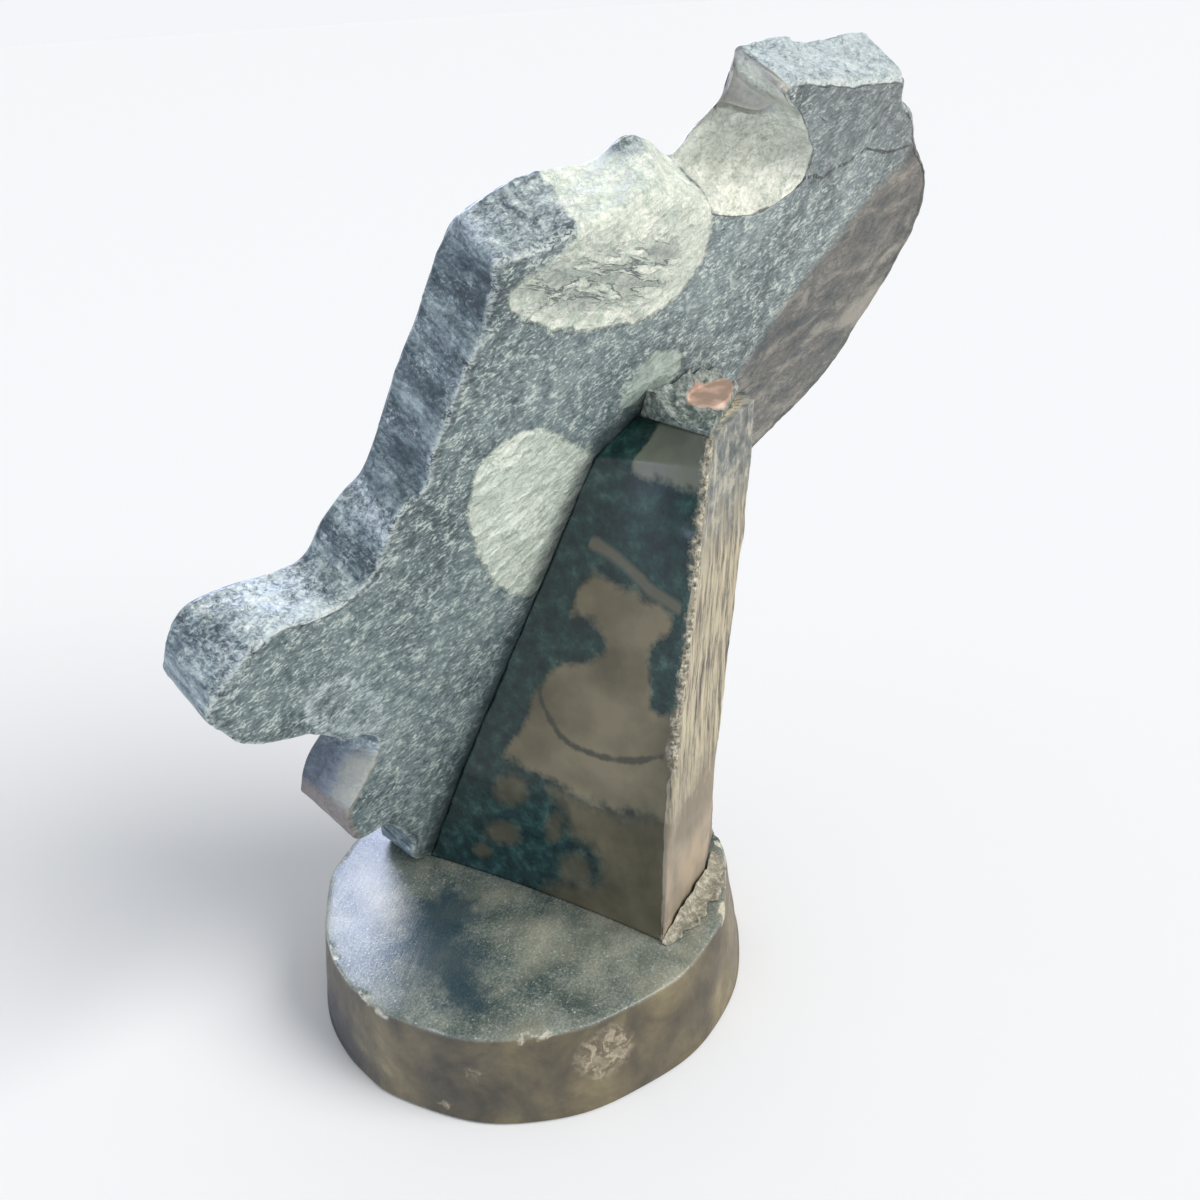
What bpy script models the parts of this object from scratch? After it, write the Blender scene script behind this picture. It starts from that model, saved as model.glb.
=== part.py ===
"""Fossil plate on a stone stand.

A thick plate of dark limestone, cut along the outlines of the shells in it, leans back on a
hand-cut stone prop. Both stand on a round stone base and are held by cast resin.
Metres, +Z up. The origin is the centre of the base's underside. The plate's show face looks
towards -Y and the prop stands behind it, at +Y.
"""
import math

import bmesh
import bpy
import numpy as np
from mathutils import Matrix

MM = 0.001
GAP = 0.3  # millimetres left between pieces that touch

# Round base, millimetres
BASE_TOP_RADIUS = 60.0
BASE_FOOT_RADIUS = 63.4
BASE_HEIGHT = 27.5
BASE_RIM_WEAR = 1.2
BASE_BELLY = 0.4
BASE_SIDES = 96
# Unevenness of its hand-cut outline: waves in a turn, phase in radians, millimetres
BASE_WAVES = ((3, 0.6, 0.35), (7, 2.0, 0.30), (13, 0.0, 0.18))

# Plate, millimetres and degrees. Its own frame has x along its width, y through its thickness
# (back face at 0, show face at -PLATE_THICKNESS) and z up its slope. Its origin is the corner
# of the back face that stands on the base.
PLATE_THICKNESS = 16.0
PLATE_LEAN = 22.0
PLATE_CORNER = (13.6, -29.8)
PLATE_FOOT_WIDTH = 48.0
PLATE_FOOT_DROP = PLATE_THICKNESS * math.tan(math.radians(PLATE_LEAN))
PLATE_EDGE_WEAR = 0.9
# Across the edge face: share of the way from the back face to the show face, and how far the
# edge stands in there, as a share of PLATE_EDGE_WEAR (negative stands out)
PLATE_EDGE_PROFILE = ((0.0, 1.0), (0.06, 0.0), (0.35, -0.5), (0.68, -0.4), (0.94, 0.0), (1.0, 1.0))
PLATE_EDGE_RIPPLE = 0.45
RIPPLE_TURN = 1.7
RIPPLE_SLANT = 9.0

# The plate's outline, one row for each turn in it, clockwise seen from the back:
# x and z on the back face, then x and z on the show face.
PLATE_OUTLINE = (
    # foot, and the step up to the small lobe beside it
    (0.0, GAP, 0.0, GAP - PLATE_FOOT_DROP),
    (7.7, 14.0, 8.0, 12.0),
    (14.0, 26.0, 15.0, 25.0),
    (20.5, 33.0, 22.0, 32.5),
    (26.0, 33.0, 29.0, 37.5),
    (31.0, 37.0, 37.0, 45.0),
    (34.0, 50.0, 37.6, 50.5),
    (31.0, 58.0, 37.2, 55.5),
    (28.0, 66.0, 35.4, 61.5),
    (27.0, 76.0, 30.0, 73.0),
    # long lobe
    (37.5, 83.0, 38.0, 82.0),
    (46.7, 91.0, 47.0, 90.0),
    (59.0, 96.5, 59.5, 95.5),
    (67.0, 103.0, 67.5, 102.5),
    (72.4, 111.5, 73.6, 113.5),
    (73.2, 117.5, 74.2, 120.5),
    (69.0, 123.0, 72.2, 127.5),
    (64.0, 129.0, 68.4, 132.0),
    (57.0, 131.5, 60.0, 132.8),
    (47.0, 130.6, 47.0, 131.4),
    (40.0, 132.0, 41.2, 133.4),
    # stepped side
    (34.5, 136.5, 38.0, 140.5),
    (32.4, 144.0, 32.8, 147.0),
    (30.0, 150.5, 28.4, 150.5),
    (23.5, 155.5, 25.8, 158.0),
    (23.2, 162.5, 24.6, 165.0),
    (20.6, 172.5, 22.0, 176.0),
    (18.2, 181.0, 19.2, 184.6),
    (15.4, 189.0, 17.4, 192.0),
    (14.2, 198.0, 15.0, 200.0),
    (14.6, 204.2, 12.4, 205.2),
    # shoulder
    (7.0, 204.6, 5.4, 208.8),
    (-2.6, 206.6, -3.4, 211.4),
    (-10.0, 209.0, -14.0, 211.6),
    (-18.6, 210.4, -23.6, 212.2),
    (-27.4, 211.6, -30.8, 216.0),
    (-36.0, 209.6, -37.6, 214.4),
    (-45.2, 206.2, -46.8, 209.8),
    # ground flank of the top lobe
    (-55.0, 202.8, -51.8, 214.5),
    (-66.0, 202.0, -56.8, 218.6),
    (-75.0, 205.2, -59.4, 221.0),
    (-77.6, 211.6, -59.9, 224.6),
    (-70.0, 220.2, -59.7, 228.2),
    (-60.4, 226.4, -59.9, 231.0),
    (-58.0, 229.6, -62.6, 232.0),
    # top lobe
    (-68.0, 230.4, -74.6, 233.0),
    (-83.0, 228.8, -86.0, 230.8),
    (-97.0, 228.2, -99.0, 231.8),
    (-108.0, 227.4, -109.6, 231.0),
    (-111.6, 221.6, -113.0, 223.4),
    (-118.0, 218.2, -119.4, 219.4),
    (-123.6, 211.4, -124.6, 212.2),
    # broad side
    (-131.0, 205.0, -131.8, 205.8),
    (-138.4, 198.6, -139.0, 199.0),
    (-143.8, 190.6, -144.2, 190.8),
    (-144.6, 182.0, -144.8, 182.0),
    (-141.8, 172.4, -141.8, 172.2),
    (-136.6, 158.0, -136.4, 157.8),
    (-130.6, 143.8, -130.2, 143.4),
    (-121.6, 133.6, -121.0, 133.0),
    (-110.0, 126.8, -109.4, 126.0),
    (-98.0, 117.0, -97.6, 116.0),
    (-88.0, 102.0, -87.8, 101.0),
    (-77.0, 91.0, -76.8, 90.0),
    (-69.0, 72.0, -68.6, 71.0),
    (-66.0, 52.0, -65.6, 51.0),
    (-57.0, 35.0, -56.8, 33.0),
    (-51.0, 17.0, -50.8, 13.0),
    (-PLATE_FOOT_WIDTH, GAP, -PLATE_FOOT_WIDTH, GAP - PLATE_FOOT_DROP),
)
PLATE_STEPS_PER_TURN = 3

# Straight-shelled cephalopods in relief on the show face, millimetres:
# x and z of the open end, x and z of the tip, radius of the open end, chambers.
STRAIGHT_SHELLS = (
    ((62.0, 113.0), (-44.0, 143.0), 11.0, 15),
    ((-90.0, 216.0), (-22.0, 42.0), 15.5, 18),
    ((-130.0, 183.0), (-64.0, 84.0), 12.0, 14),
    ((14.0, 112.0), (-6.0, 30.0), 8.0, 11),
)
SHELL_TIP_SHARE = 0.16
SHELL_CHAMBER_SWELL = 0.045
SHELL_RISE_SHARE = 0.55
SHELL_ROOT = 3.0
SHELL_ROOT_SHARE = 0.9
SHELL_ARC_STEPS = 10
# Last ring at each end: its radius as a share of the ring before it, and its distance from that
# ring as a share of the open end's radius
SHELL_MOUTH_END = (0.72, 0.16)
SHELL_TIP_END = (0.55, 0.08)

# Coiled shells in relief on the show face, millimetres: x and z of the centre, radius, height.
COILED_SHELLS = (
    ((-14.0, 184.0), 25.0, 7.5),
    ((-98.0, 170.0), 8.5, 3.6),
)
COIL_GROWTH = 2.1
COIL_EYE = 0.05
COIL_GROOVE = 0.42
COIL_GROOVE_SHARPNESS = 3
COIL_DOME_POWER = 2.6
COIL_SINK = 0.5
COIL_RINGS = 14
COIL_SPOKES = 40
COIL_ROOT = 2.0

# Prop: level cuts, millimetres. Each row is a height above the base, then the corners
# (x, y) of the polished side's outer ridge, of the ground bevel, and of the far corner, and
# the x of the two corners that meet the plate.
PROP_CUTS = (
    (0.0, (-7.2, 48.6), (-35.0, 39.8), (-53.0, 28.6), 12.6, -47.0),
    (36.0, (-11.6, 48.2), (-41.6, 39.4), (-49.4, 31.5), 7.2, -45.0),
    (70.0, (-15.6, 49.4), (-46.0, 40.2), (-51.4, 34.0), -0.6, -46.0),
    (104.0, (-19.6, 51.6), (-51.0, 41.6), (-55.0, 36.0), -8.4, -49.0),
    (134.0, (-23.2, 52.8), (-53.6, 42.6), (-57.4, 36.5), -15.0, -53.0),
    (141.0, (-24.8, 52.4), (-54.0, 42.4), (-57.0, 36.8), -26.5, -55.0),
)
# At the five corners of a cut, from the near one: how worn the corner is, as a share of
# PROP_EDGE_WEAR, and how far the side after it crowns, as a share of PROP_BULGE
PROP_BULGE = 1.6
PROP_EDGE_WEAR = 1.1
PROP_WEAR_SHARES = (0.35, 1.0, 0.8, 0.8, 0.35)
PROP_CROWN_SHARES = (1.0, 0.35, 0.15, 0.3, 0.0)

# Waves in the resin's lumps: share of the height, turns over each parameter, phase
LUMP_WAVES = ((0.45, 1.1, 0.7, 1.7), (0.35, 2.3, -1.9, 3.4), (0.20, 4.1, 3.3, 5.1))

# Resin poured over the prop's top, against the plate, millimetres
CRUST_INSET = 1.0
CRUST_HEIGHT_AT_PLATE = 7.0
CRUST_HEIGHT_OUTSIDE = 1.6
CRUST_LEAST = 0.8
CRUST_FALL = 2.2
CRUST_LUMP = 1.2
CRUST_LUMPS_ALONG = 9.0
CRUST_LUMPS_ACROSS = 6.0
CRUST_STEPS_ALONG = 22
CRUST_STEPS_ACROSS = 10

# Resin fillet along the foot of the prop's sawn side, millimetres
FILLET_WIDTH = 6.0
FILLET_HEIGHT = 3.2
FILLET_LUMP = 0.3
FILLET_LUMPS_ALONG = 20.0
FILLET_STEPS = 30
FILLET_ARC_STEPS = 5
# Its route keeps clear of the prop's foot by these steps in x and y, at the outer ridge, midway,
# at the bevel and at its end
FILLET_CLEARANCES = ((1.5, 1.2), (1.0, 3.6), (-0.2, 2.4), (-1.4, 2.0))

# Colours (linear red, green, blue), roughness
STONE_BASE = ((0.065, 0.072, 0.062), 0.32)
STONE_PLATE = ((0.100, 0.125, 0.120), 0.55)
STONE_PROP = ((0.120, 0.105, 0.075), 0.28)
RESIN_DARK = ((0.075, 0.080, 0.075), 0.60)
RESIN_PALE = ((0.260, 0.240, 0.190), 0.65)


def clear_scene():
    for item in list(bpy.data.objects):
        bpy.data.objects.remove(item, do_unlink=True)


def collection(name):
    made = bpy.data.collections.new(name)
    bpy.context.scene.collection.children.link(made)
    return made


def stone_material(name, colour_and_roughness):
    colour, roughness = colour_and_roughness
    made = bpy.data.materials.new(name)
    made.use_nodes = True
    shader = made.node_tree.nodes["Principled BSDF"]
    shader.inputs["Base Color"].default_value = (*colour, 1.0)
    shader.inputs["Roughness"].default_value = roughness
    shader.inputs["Metallic"].default_value = 0.0
    made.diffuse_color = (*colour, 1.0)
    return made


def mesh_object(name, points, faces, owner, material=None):
    """One object from points in millimetres, with its faces turned outwards."""
    mesh = bpy.data.meshes.new(name)
    mesh.from_pydata([tuple(p) for p in np.asarray(points) * MM], [], faces)
    work = bmesh.new()
    work.from_mesh(mesh)
    bmesh.ops.recalc_face_normals(work, faces=work.faces)
    bmesh.ops.triangulate(work, faces=[f for f in work.faces if len(f.verts) > 4])
    work.to_mesh(mesh)
    work.free()
    made = bpy.data.objects.new(name, mesh)
    owner.objects.link(made)
    if material is not None:
        mesh.materials.append(material)
    mesh.shade_smooth()
    mesh.set_sharp_from_angle(angle=math.radians(35.0))
    return made


def stacked_loops(loops):
    """Points and faces of a closed body whose skin runs through loops of equal length."""
    count = len(loops[0])
    faces = []
    for row in range(len(loops) - 1):
        low, high = row * count, (row + 1) * count
        for i in range(count):
            j = (i + 1) % count
            faces.append((low + i, low + j, high + j, high + i))
    faces.append(tuple(range(count))[::-1])
    last = (len(loops) - 1) * count
    faces.append(tuple(range(last, last + count)))
    return np.vstack(loops), faces


def smooth_loop(corners, steps):
    """Catmull-Rom curve through closed rows of numbers, with steps points for each row."""
    p1 = np.asarray(corners, dtype=float)
    p0, p2, p3 = np.roll(p1, 1, axis=0), np.roll(p1, -1, axis=0), np.roll(p1, -2, axis=0)
    t = (np.arange(steps) / steps)[None, :, None]
    a, b, c, d = (p[:, None, :] for p in (p0, p1, p2, p3))
    curve = 0.5 * (2 * b + (c - a) * t + (2 * a - 5 * b + 4 * c - d) * t**2
                   + (3 * b - a - 3 * c + d) * t**3)
    return curve.reshape(-1, p1.shape[1])


def outward(loop):
    """Unit directions out of a closed (x, z) loop that runs clockwise seen from the back."""
    along = np.roll(loop, -1, axis=0) - np.roll(loop, 1, axis=0)
    along /= np.linalg.norm(along, axis=1)[:, None]
    normal = np.stack([along[:, 1], -along[:, 0]], axis=1)
    twice_area = np.sum(loop[:, 0] * np.roll(loop[:, 1], -1) - loop[:, 1] * np.roll(loop[:, 0], -1))
    return normal if twice_area > 0 else -normal


def base_disc(owner, material):
    """Turned stack of rings, a little out of round as a hand-cut stone is, with a worn rim."""
    turn = np.arange(BASE_SIDES) * 2 * math.pi / BASE_SIDES
    uneven = sum(size * np.sin(waves * turn + phase) for waves, phase, size in BASE_WAVES)
    drop = BASE_RIM_WEAR
    waist = 0.5 * (BASE_TOP_RADIUS + BASE_FOOT_RADIUS) + BASE_BELLY
    rings = (
        (BASE_FOOT_RADIUS - drop, 0.0),
        (BASE_FOOT_RADIUS, drop),
        (waist, 0.5 * BASE_HEIGHT),
        (BASE_TOP_RADIUS, BASE_HEIGHT - 0.7 * drop),
        (BASE_TOP_RADIUS - 0.8 * drop, BASE_HEIGHT),
    )
    loops = []
    for radius, height in rings:
        reach = radius + uneven
        loops.append(np.stack([reach * np.cos(turn), reach * np.sin(turn),
                               np.full(BASE_SIDES, height)], axis=1))
    points, faces = stacked_loops(loops)
    return mesh_object("base_disc", points, faces, owner, material)


def plate_blank():
    """The bare plate: its outline carried from the back face to the show face, edges worn."""
    rows = smooth_loop(PLATE_OUTLINE, PLATE_STEPS_PER_TURN)
    foot = PLATE_STEPS_PER_TURN * (len(PLATE_OUTLINE) - 1)
    back, front = rows[:, :2].copy(), rows[:, 2:].copy()
    share = (np.arange(len(rows) - foot) / (len(rows) - foot))[:, None]
    for loop in (back, front):
        loop[foot:] = loop[foot] + (loop[0] - loop[foot]) * share
    count = len(rows)
    station = np.arange(count)
    standing = (station >= foot) | (station == 0)
    free = np.where(standing, 0.0, 1.0)[:, None]
    loops = []
    for depth, inset in PLATE_EDGE_PROFILE:
        flat = back * (1 - depth) + front * depth
        ripple = PLATE_EDGE_RIPPLE * np.sin(RIPPLE_TURN * station + RIPPLE_SLANT * depth)[:, None]
        ripple *= 4.0 * depth * (1.0 - depth)
        flat += outward(flat) * (ripple - PLATE_EDGE_WEAR * inset) * free
        loops.append(np.stack([flat[:, 0], np.full(count, -depth * PLATE_THICKNESS), flat[:, 1]],
                              axis=1))
    return stacked_loops(loops)


def straight_shell(name, open_end, tip, radius, chambers, owner):
    """A chambered cone lying in the show face: an arched section carried from the open end to
    the tip, shrinking in a straight line and swelling at each chamber."""
    start, end = np.array(open_end), np.array(tip)
    length = np.linalg.norm(end - start)
    rings = 2 * chambers + 1
    share = np.arange(rings) / (rings - 1)
    swell = 1.0 + SHELL_CHAMBER_SWELL * np.where(np.arange(rings) % 2 == 0, -1.0, 1.0)
    reach = radius * (1.0 - (1.0 - SHELL_TIP_SHARE) * share) * swell
    along = share * length
    reach = np.concatenate([[SHELL_MOUTH_END[0] * reach[0]], reach, [SHELL_TIP_END[0] * reach[-1]]])
    along = np.concatenate([[-SHELL_MOUTH_END[1] * radius], along,
                            [length + SHELL_TIP_END[1] * radius]])
    arc = np.linspace(0.0, math.pi, SHELL_ARC_STEPS + 1)
    step = (end - start) / length
    side = np.array([-step[1], step[0]])
    root = SHELL_ROOT - PLATE_THICKNESS
    loops = []
    for r, s in zip(reach, along):
        across = np.concatenate([r * np.cos(arc), [-SHELL_ROOT_SHARE * r, SHELL_ROOT_SHARE * r]])
        depth = np.concatenate([-PLATE_THICKNESS - SHELL_RISE_SHARE * r * np.sin(arc), [root, root]])
        loops.append(np.stack([start[0] + step[0] * s + side[0] * across, depth,
                               start[1] + step[1] * s + side[1] * across], axis=1))
    points, faces = stacked_loops(loops)
    return mesh_object(name, points, faces, owner)


def coiled_shell(name, centre, radius, height, owner):
    """A low dome with a spiral groove: the height at distance r and angle a falls where
    the whorl number, log(r) / log(growth) + a / turn, is near a whole number."""
    rim = np.linspace(0.0, 1.0, COIL_RINGS + 1)[1:]
    turn = np.arange(COIL_SPOKES) * 2 * math.pi / COIL_SPOKES
    r, a = np.meshgrid(rim, turn, indexing="ij")
    whorl = np.log(np.maximum(r, COIL_EYE)) / math.log(COIL_GROWTH) + a / (2 * math.pi)
    groove = COIL_GROOVE * (0.5 + 0.5 * np.cos(2 * math.pi * whorl)) ** COIL_GROOVE_SHARPNESS
    dome = np.sqrt(np.clip(1.0 - r**COIL_DOME_POWER, 0.0, 1.0))
    tall = height * dome * (1.0 - groove)
    tall[-1] = -COIL_SINK
    x = centre[0] + radius * r * np.cos(a)
    z = centre[1] + radius * r * np.sin(a)
    y = -PLATE_THICKNESS - tall
    loops = [np.stack([x[-1], np.full(COIL_SPOKES, COIL_ROOT - PLATE_THICKNESS), z[-1]], axis=1)]
    for ring in range(COIL_RINGS - 1, -1, -1):
        loops.append(np.stack([x[ring], y[ring], z[ring]], axis=1))
    points, faces = stacked_loops(loops)
    return mesh_object(name, points, faces, owner)


def fuse(body, tools):
    """Boolean unions that make the shells in relief one stone with the plate."""
    for tool in tools:
        tool.display_type = "WIRE"
        tool.hide_render = True
        union = body.modifiers.new("fuse_" + tool.name, "BOOLEAN")
        union.operation = "UNION"
        union.solver = "EXACT"
        union.object = tool


def fossil_plate(owner, tools_owner, material):
    points, faces = plate_blank()
    plate = mesh_object("fossil_plate", points, faces, owner, material)
    tools = []
    for index, shell in enumerate(STRAIGHT_SHELLS):
        tools.append(straight_shell(f"straight_shell_{index + 1}", *shell, tools_owner))
    for index, shell in enumerate(COILED_SHELLS):
        tools.append(coiled_shell(f"coiled_shell_{index + 1}", *shell, tools_owner))
    place = Matrix.Translation((PLATE_CORNER[0] * MM, PLATE_CORNER[1] * MM, BASE_HEIGHT * MM))
    place @= Matrix.Rotation(math.radians(-PLATE_LEAN), 4, "X")
    for item in [plate] + tools:
        item.matrix_world = place
    fuse(plate, tools)
    return plate


def plate_back_y(height):
    """y of the plate's back face at a height above the base, in millimetres."""
    return PLATE_CORNER[1] + height * math.tan(math.radians(PLATE_LEAN))


def prop_section(height, ridge, bevel, corner, near_x, far_x):
    """Closed loop of one level cut, with worn corners and slightly crowned sides."""
    clearance = GAP / math.cos(math.radians(PLATE_LEAN))
    back_y = plate_back_y(height) + clearance
    corners = np.array([(near_x, back_y), ridge, bevel, corner, (far_x, back_y)])
    loop = []
    for i, here in enumerate(corners):
        before, after = corners[i - 1], corners[(i + 1) % len(corners)]
        back_step = (before - here) / np.linalg.norm(before - here)
        next_step = (after - here) / np.linalg.norm(after - here)
        cut = PROP_EDGE_WEAR * PROP_WEAR_SHARES[i]
        loop.append(here + back_step * cut)
        loop.append(here + next_step * cut)
        span = after - here
        normal = np.array([span[1], -span[0]]) / np.linalg.norm(span)
        for share in (0.25, 0.5, 0.75):
            swell = PROP_BULGE * PROP_CROWN_SHARES[i] * 4.0 * share * (1.0 - share)
            loop.append(here + span * share - normal * swell)
    loop = np.array(loop)
    return np.column_stack([loop, np.full(len(loop), BASE_HEIGHT + GAP + height)])


def prop_block(owner, material):
    loops = [prop_section(*cut) for cut in PROP_CUTS]
    points, faces = stacked_loops(loops)
    return mesh_object("prop_block", points, faces, owner, material)


def lumps(a, b):
    """Smooth unevenness from -1 to 1 over two parameters: three sine waves that cross."""
    return sum(size * np.sin(turn_a * a + turn_b * b + phase)
               for size, turn_a, turn_b, phase in LUMP_WAVES)


def resin_crust(owner, material):
    """A lumpy cap on the prop: one grid of heights, tallest against the plate."""
    height, ridge, bevel, corner, near_x, far_x = PROP_CUTS[-1]
    floor = height + GAP
    s, w = np.meshgrid(np.linspace(0, 1, CRUST_STEPS_ALONG + 1),
                       np.linspace(0, 1, CRUST_STEPS_ACROSS + 1), indexing="ij")
    fall = (1.0 - w) ** CRUST_FALL
    rise = CRUST_HEIGHT_OUTSIDE + (CRUST_HEIGHT_AT_PLATE - CRUST_HEIGHT_OUTSIDE) * fall
    rise += CRUST_LUMP * lumps(CRUST_LUMPS_ALONG * s, CRUST_LUMPS_ACROSS * w)
    rise = np.maximum(rise, CRUST_LEAST)
    outer_x = ridge[0] - CRUST_INSET + (corner[0] - ridge[0] + 2 * CRUST_INSET) * s
    outer_y = ridge[1] + (corner[1] - ridge[1]) * s - CRUST_INSET
    inner_x = near_x - CRUST_INSET + (far_x - near_x + 2 * CRUST_INSET) * s
    clearance = 2 * GAP / math.cos(math.radians(PLATE_LEAN))

    def surface(level):
        inner_y = plate_back_y(floor + level) + clearance
        x = inner_x + (outer_x - inner_x) * w
        y = inner_y + (outer_y - inner_y) * w
        return np.stack([x, y, BASE_HEIGHT + GAP + floor + level], axis=-1)

    top, bottom = surface(rise), surface(np.zeros_like(rise))
    points = np.vstack([top.reshape(-1, 3), bottom.reshape(-1, 3)])
    rows, columns = CRUST_STEPS_ALONG + 1, CRUST_STEPS_ACROSS + 1
    index = np.arange(rows * columns).reshape(rows, columns)
    faces = []
    for i in range(rows - 1):
        for j in range(columns - 1):
            quad = (index[i, j], index[i + 1, j], index[i + 1, j + 1], index[i, j + 1])
            faces.append(tuple(int(v) for v in quad))
    edge = np.concatenate([index[0, :], index[1:, -1], index[-1, -2::-1], index[-2:0:-1, 0]])
    below = rows * columns
    for i, here in enumerate(edge):
        after = edge[(i + 1) % len(edge)]
        faces.append((int(here), int(after), int(after + below), int(here + below)))
    faces.append(tuple(int(v + below) for v in edge))
    used = np.unique(np.concatenate([np.array(face) for face in faces]))
    slot = -np.ones(len(points), dtype=int)
    slot[used] = np.arange(len(used))
    faces = [tuple(int(slot[v]) for v in face) for face in faces]
    return mesh_object("resin_crust", points[used], faces, owner, material)


def fillet_route():
    """Points along the foot of the sawn side, evenly shared out over a polyline."""
    ridge, bevel, corner = (np.array(PROP_CUTS[0][i]) for i in (1, 2, 3))
    turns = np.array([ridge, 0.5 * (ridge + bevel), bevel, 0.5 * (bevel + corner)])
    turns += np.array(FILLET_CLEARANCES)
    share = np.linspace(0, len(turns) - 1, FILLET_STEPS + 1)
    return np.stack([np.interp(share, np.arange(len(turns)), turns[:, axis]) for axis in (0, 1)],
                    axis=1)


def resin_fillet(owner, material):
    """A bead with a hollow quarter-round section, carried along its route and thinning to
    both ends."""
    route = fillet_route()
    along = np.gradient(route, axis=0)
    along /= np.linalg.norm(along, axis=1)[:, None]
    away = np.stack([along[:, 1], -along[:, 0]], axis=1)
    if away[0, 1] < 0:
        away = -away
    share = np.linspace(0.0, 1.0, FILLET_STEPS + 1)
    ends = np.sqrt(np.sin(0.05 + (math.pi - 0.1) * share))
    size = ends * (1.0 + FILLET_LUMP * lumps(FILLET_LUMPS_ALONG * share, 0.0))
    arc = np.linspace(0, math.pi / 2, FILLET_ARC_STEPS + 1)
    out = np.concatenate([[0.0], FILLET_WIDTH * (1.0 - np.sin(arc))])
    high = np.concatenate([[0.0], FILLET_HEIGHT * (1.0 - np.cos(arc))])
    loops = []
    for k, here in enumerate(route):
        flat = here + away[k] * (size[k] * out)[:, None]
        loops.append(np.column_stack([flat, BASE_HEIGHT + GAP + size[k] * high]))
    points, faces = stacked_loops(loops)
    return mesh_object("resin_fillet", points, faces, owner, material)


def build():
    clear_scene()
    parts = collection("fossil_plate_on_stand")
    cutters = collection("shell_forms")
    base_disc(parts, stone_material("base_limestone", STONE_BASE))
    fossil_plate(parts, cutters, stone_material("plate_limestone", STONE_PLATE))
    prop_block(parts, stone_material("prop_limestone", STONE_PROP))
    resin_crust(parts, stone_material("dark_resin", RESIN_DARK))
    resin_fillet(parts, stone_material("pale_resin", RESIN_PALE))


build()
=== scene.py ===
"""Looks of the fossil plate on its stone stand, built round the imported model.

The sections follow the object from the table up: view and light, base disc, fossil plate, prop,
and the resin that holds them. Lengths are millimetres and become metres as a mesh is made.
"""

import math
from functools import partial
from types import SimpleNamespace

import bpy
import numpy as np
from mathutils import Matrix, Vector


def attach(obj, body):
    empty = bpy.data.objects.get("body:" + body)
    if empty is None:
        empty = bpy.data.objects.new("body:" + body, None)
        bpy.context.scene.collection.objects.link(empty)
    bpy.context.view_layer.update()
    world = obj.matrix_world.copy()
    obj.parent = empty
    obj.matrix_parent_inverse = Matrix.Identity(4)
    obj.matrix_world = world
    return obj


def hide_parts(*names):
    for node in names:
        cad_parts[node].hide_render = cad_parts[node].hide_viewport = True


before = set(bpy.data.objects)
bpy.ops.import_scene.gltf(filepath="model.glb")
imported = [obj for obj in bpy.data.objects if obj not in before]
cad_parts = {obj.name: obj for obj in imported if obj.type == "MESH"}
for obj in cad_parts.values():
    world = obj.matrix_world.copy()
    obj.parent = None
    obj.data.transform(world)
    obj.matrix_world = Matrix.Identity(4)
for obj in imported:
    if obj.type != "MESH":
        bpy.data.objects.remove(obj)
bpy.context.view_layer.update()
MM = 0.001


# View and light
# The stand is seen from behind and above on a plain pale table. A broad soft light stands behind
# the viewer on the right, a cool window lies beyond the stand, and the room is pale all round.
CAMERA_PLACE = (165.5, 210.4, 258.5)
CAMERA_HEADING, CAMERA_PITCH, CAMERA_ROLL = 136.0, -27.6, -3.46
CAMERA_LENS, CAMERA_SENSOR = 34.5, 36.0
TABLE_REACH = 30000.0
KEY_FROM, KEY_STRENGTH, KEY_SPREAD = (-0.35, 0.70, 0.62), 2.6, 38.0
# The room's paleness at the wall's foot and at the ceiling, and how steeply up each of them is
ROOM_LEVEL, CEILING_LEVEL = 1.0, 0.56
WALL_LOW, WALL_HIGH = 0.02, 0.35
PAPER_WHITE = "#f4f6f9"


def linear(hex_colour, alpha=1.0):
    """An sRGB hex colour as linear red, green, blue and alpha."""
    parts = np.array([int(hex_colour[i:i + 2], 16) for i in (1, 3, 5)]) / 255.0
    lit = np.where(parts <= 0.04045, parts / 12.92, ((parts + 0.055) / 1.055) ** 2.4)
    return (*lit.tolist(), alpha)


def feed(node, name, value):
    """Gives one input of a node a number, a colour or the socket that feeds it."""
    if isinstance(value, bpy.types.NodeSocket):
        node.id_data.links.new(value, node.inputs[name])
    else:
        node.inputs[name].default_value = value


def add_node(tree, kind, *values, out=0, **named):
    """Adds one node and returns one of its outputs. kind is its name, with an operation after a
    colon. The values feed its inputs in order, None leaves one as it is, and the named values
    go to the input or the setting of that name."""
    kind, _, operation = kind.partition(":")
    made = tree.nodes.new("ShaderNode" + kind)
    if operation:
        made.operation = operation
    for name, value in (*enumerate(values), *named.items()):
        if isinstance(name, str) and name not in made.inputs:
            setattr(made, name, value)
        elif value is not None:
            feed(made, name, value)
    return made.outputs[out]


def new_material(name):
    """An empty material, a function that adds a node to it, and its Principled shader."""
    made = bpy.data.materials.new(name)
    made.use_nodes = True
    return made, partial(add_node, made.node_tree), made.node_tree.nodes["Principled BSDF"]


camera = bpy.data.objects.new("camera", bpy.data.cameras.new("camera"))
camera.data.lens, camera.data.sensor_width = CAMERA_LENS, CAMERA_SENSOR
camera.data.clip_start, camera.data.clip_end = 0.01, 100.0
camera.matrix_world = (Matrix.Translation([c * MM for c in CAMERA_PLACE])
                       @ Matrix.Rotation(math.radians(CAMERA_HEADING), 4, "Z")
                       @ Matrix.Rotation(math.radians(90.0 + CAMERA_PITCH), 4, "X")
                       @ Matrix.Rotation(math.radians(CAMERA_ROLL), 4, "Z"))
bpy.context.scene.collection.objects.link(camera)
bpy.context.scene.camera = camera
bpy.context.scene.view_settings.view_transform = "Standard"


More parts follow.
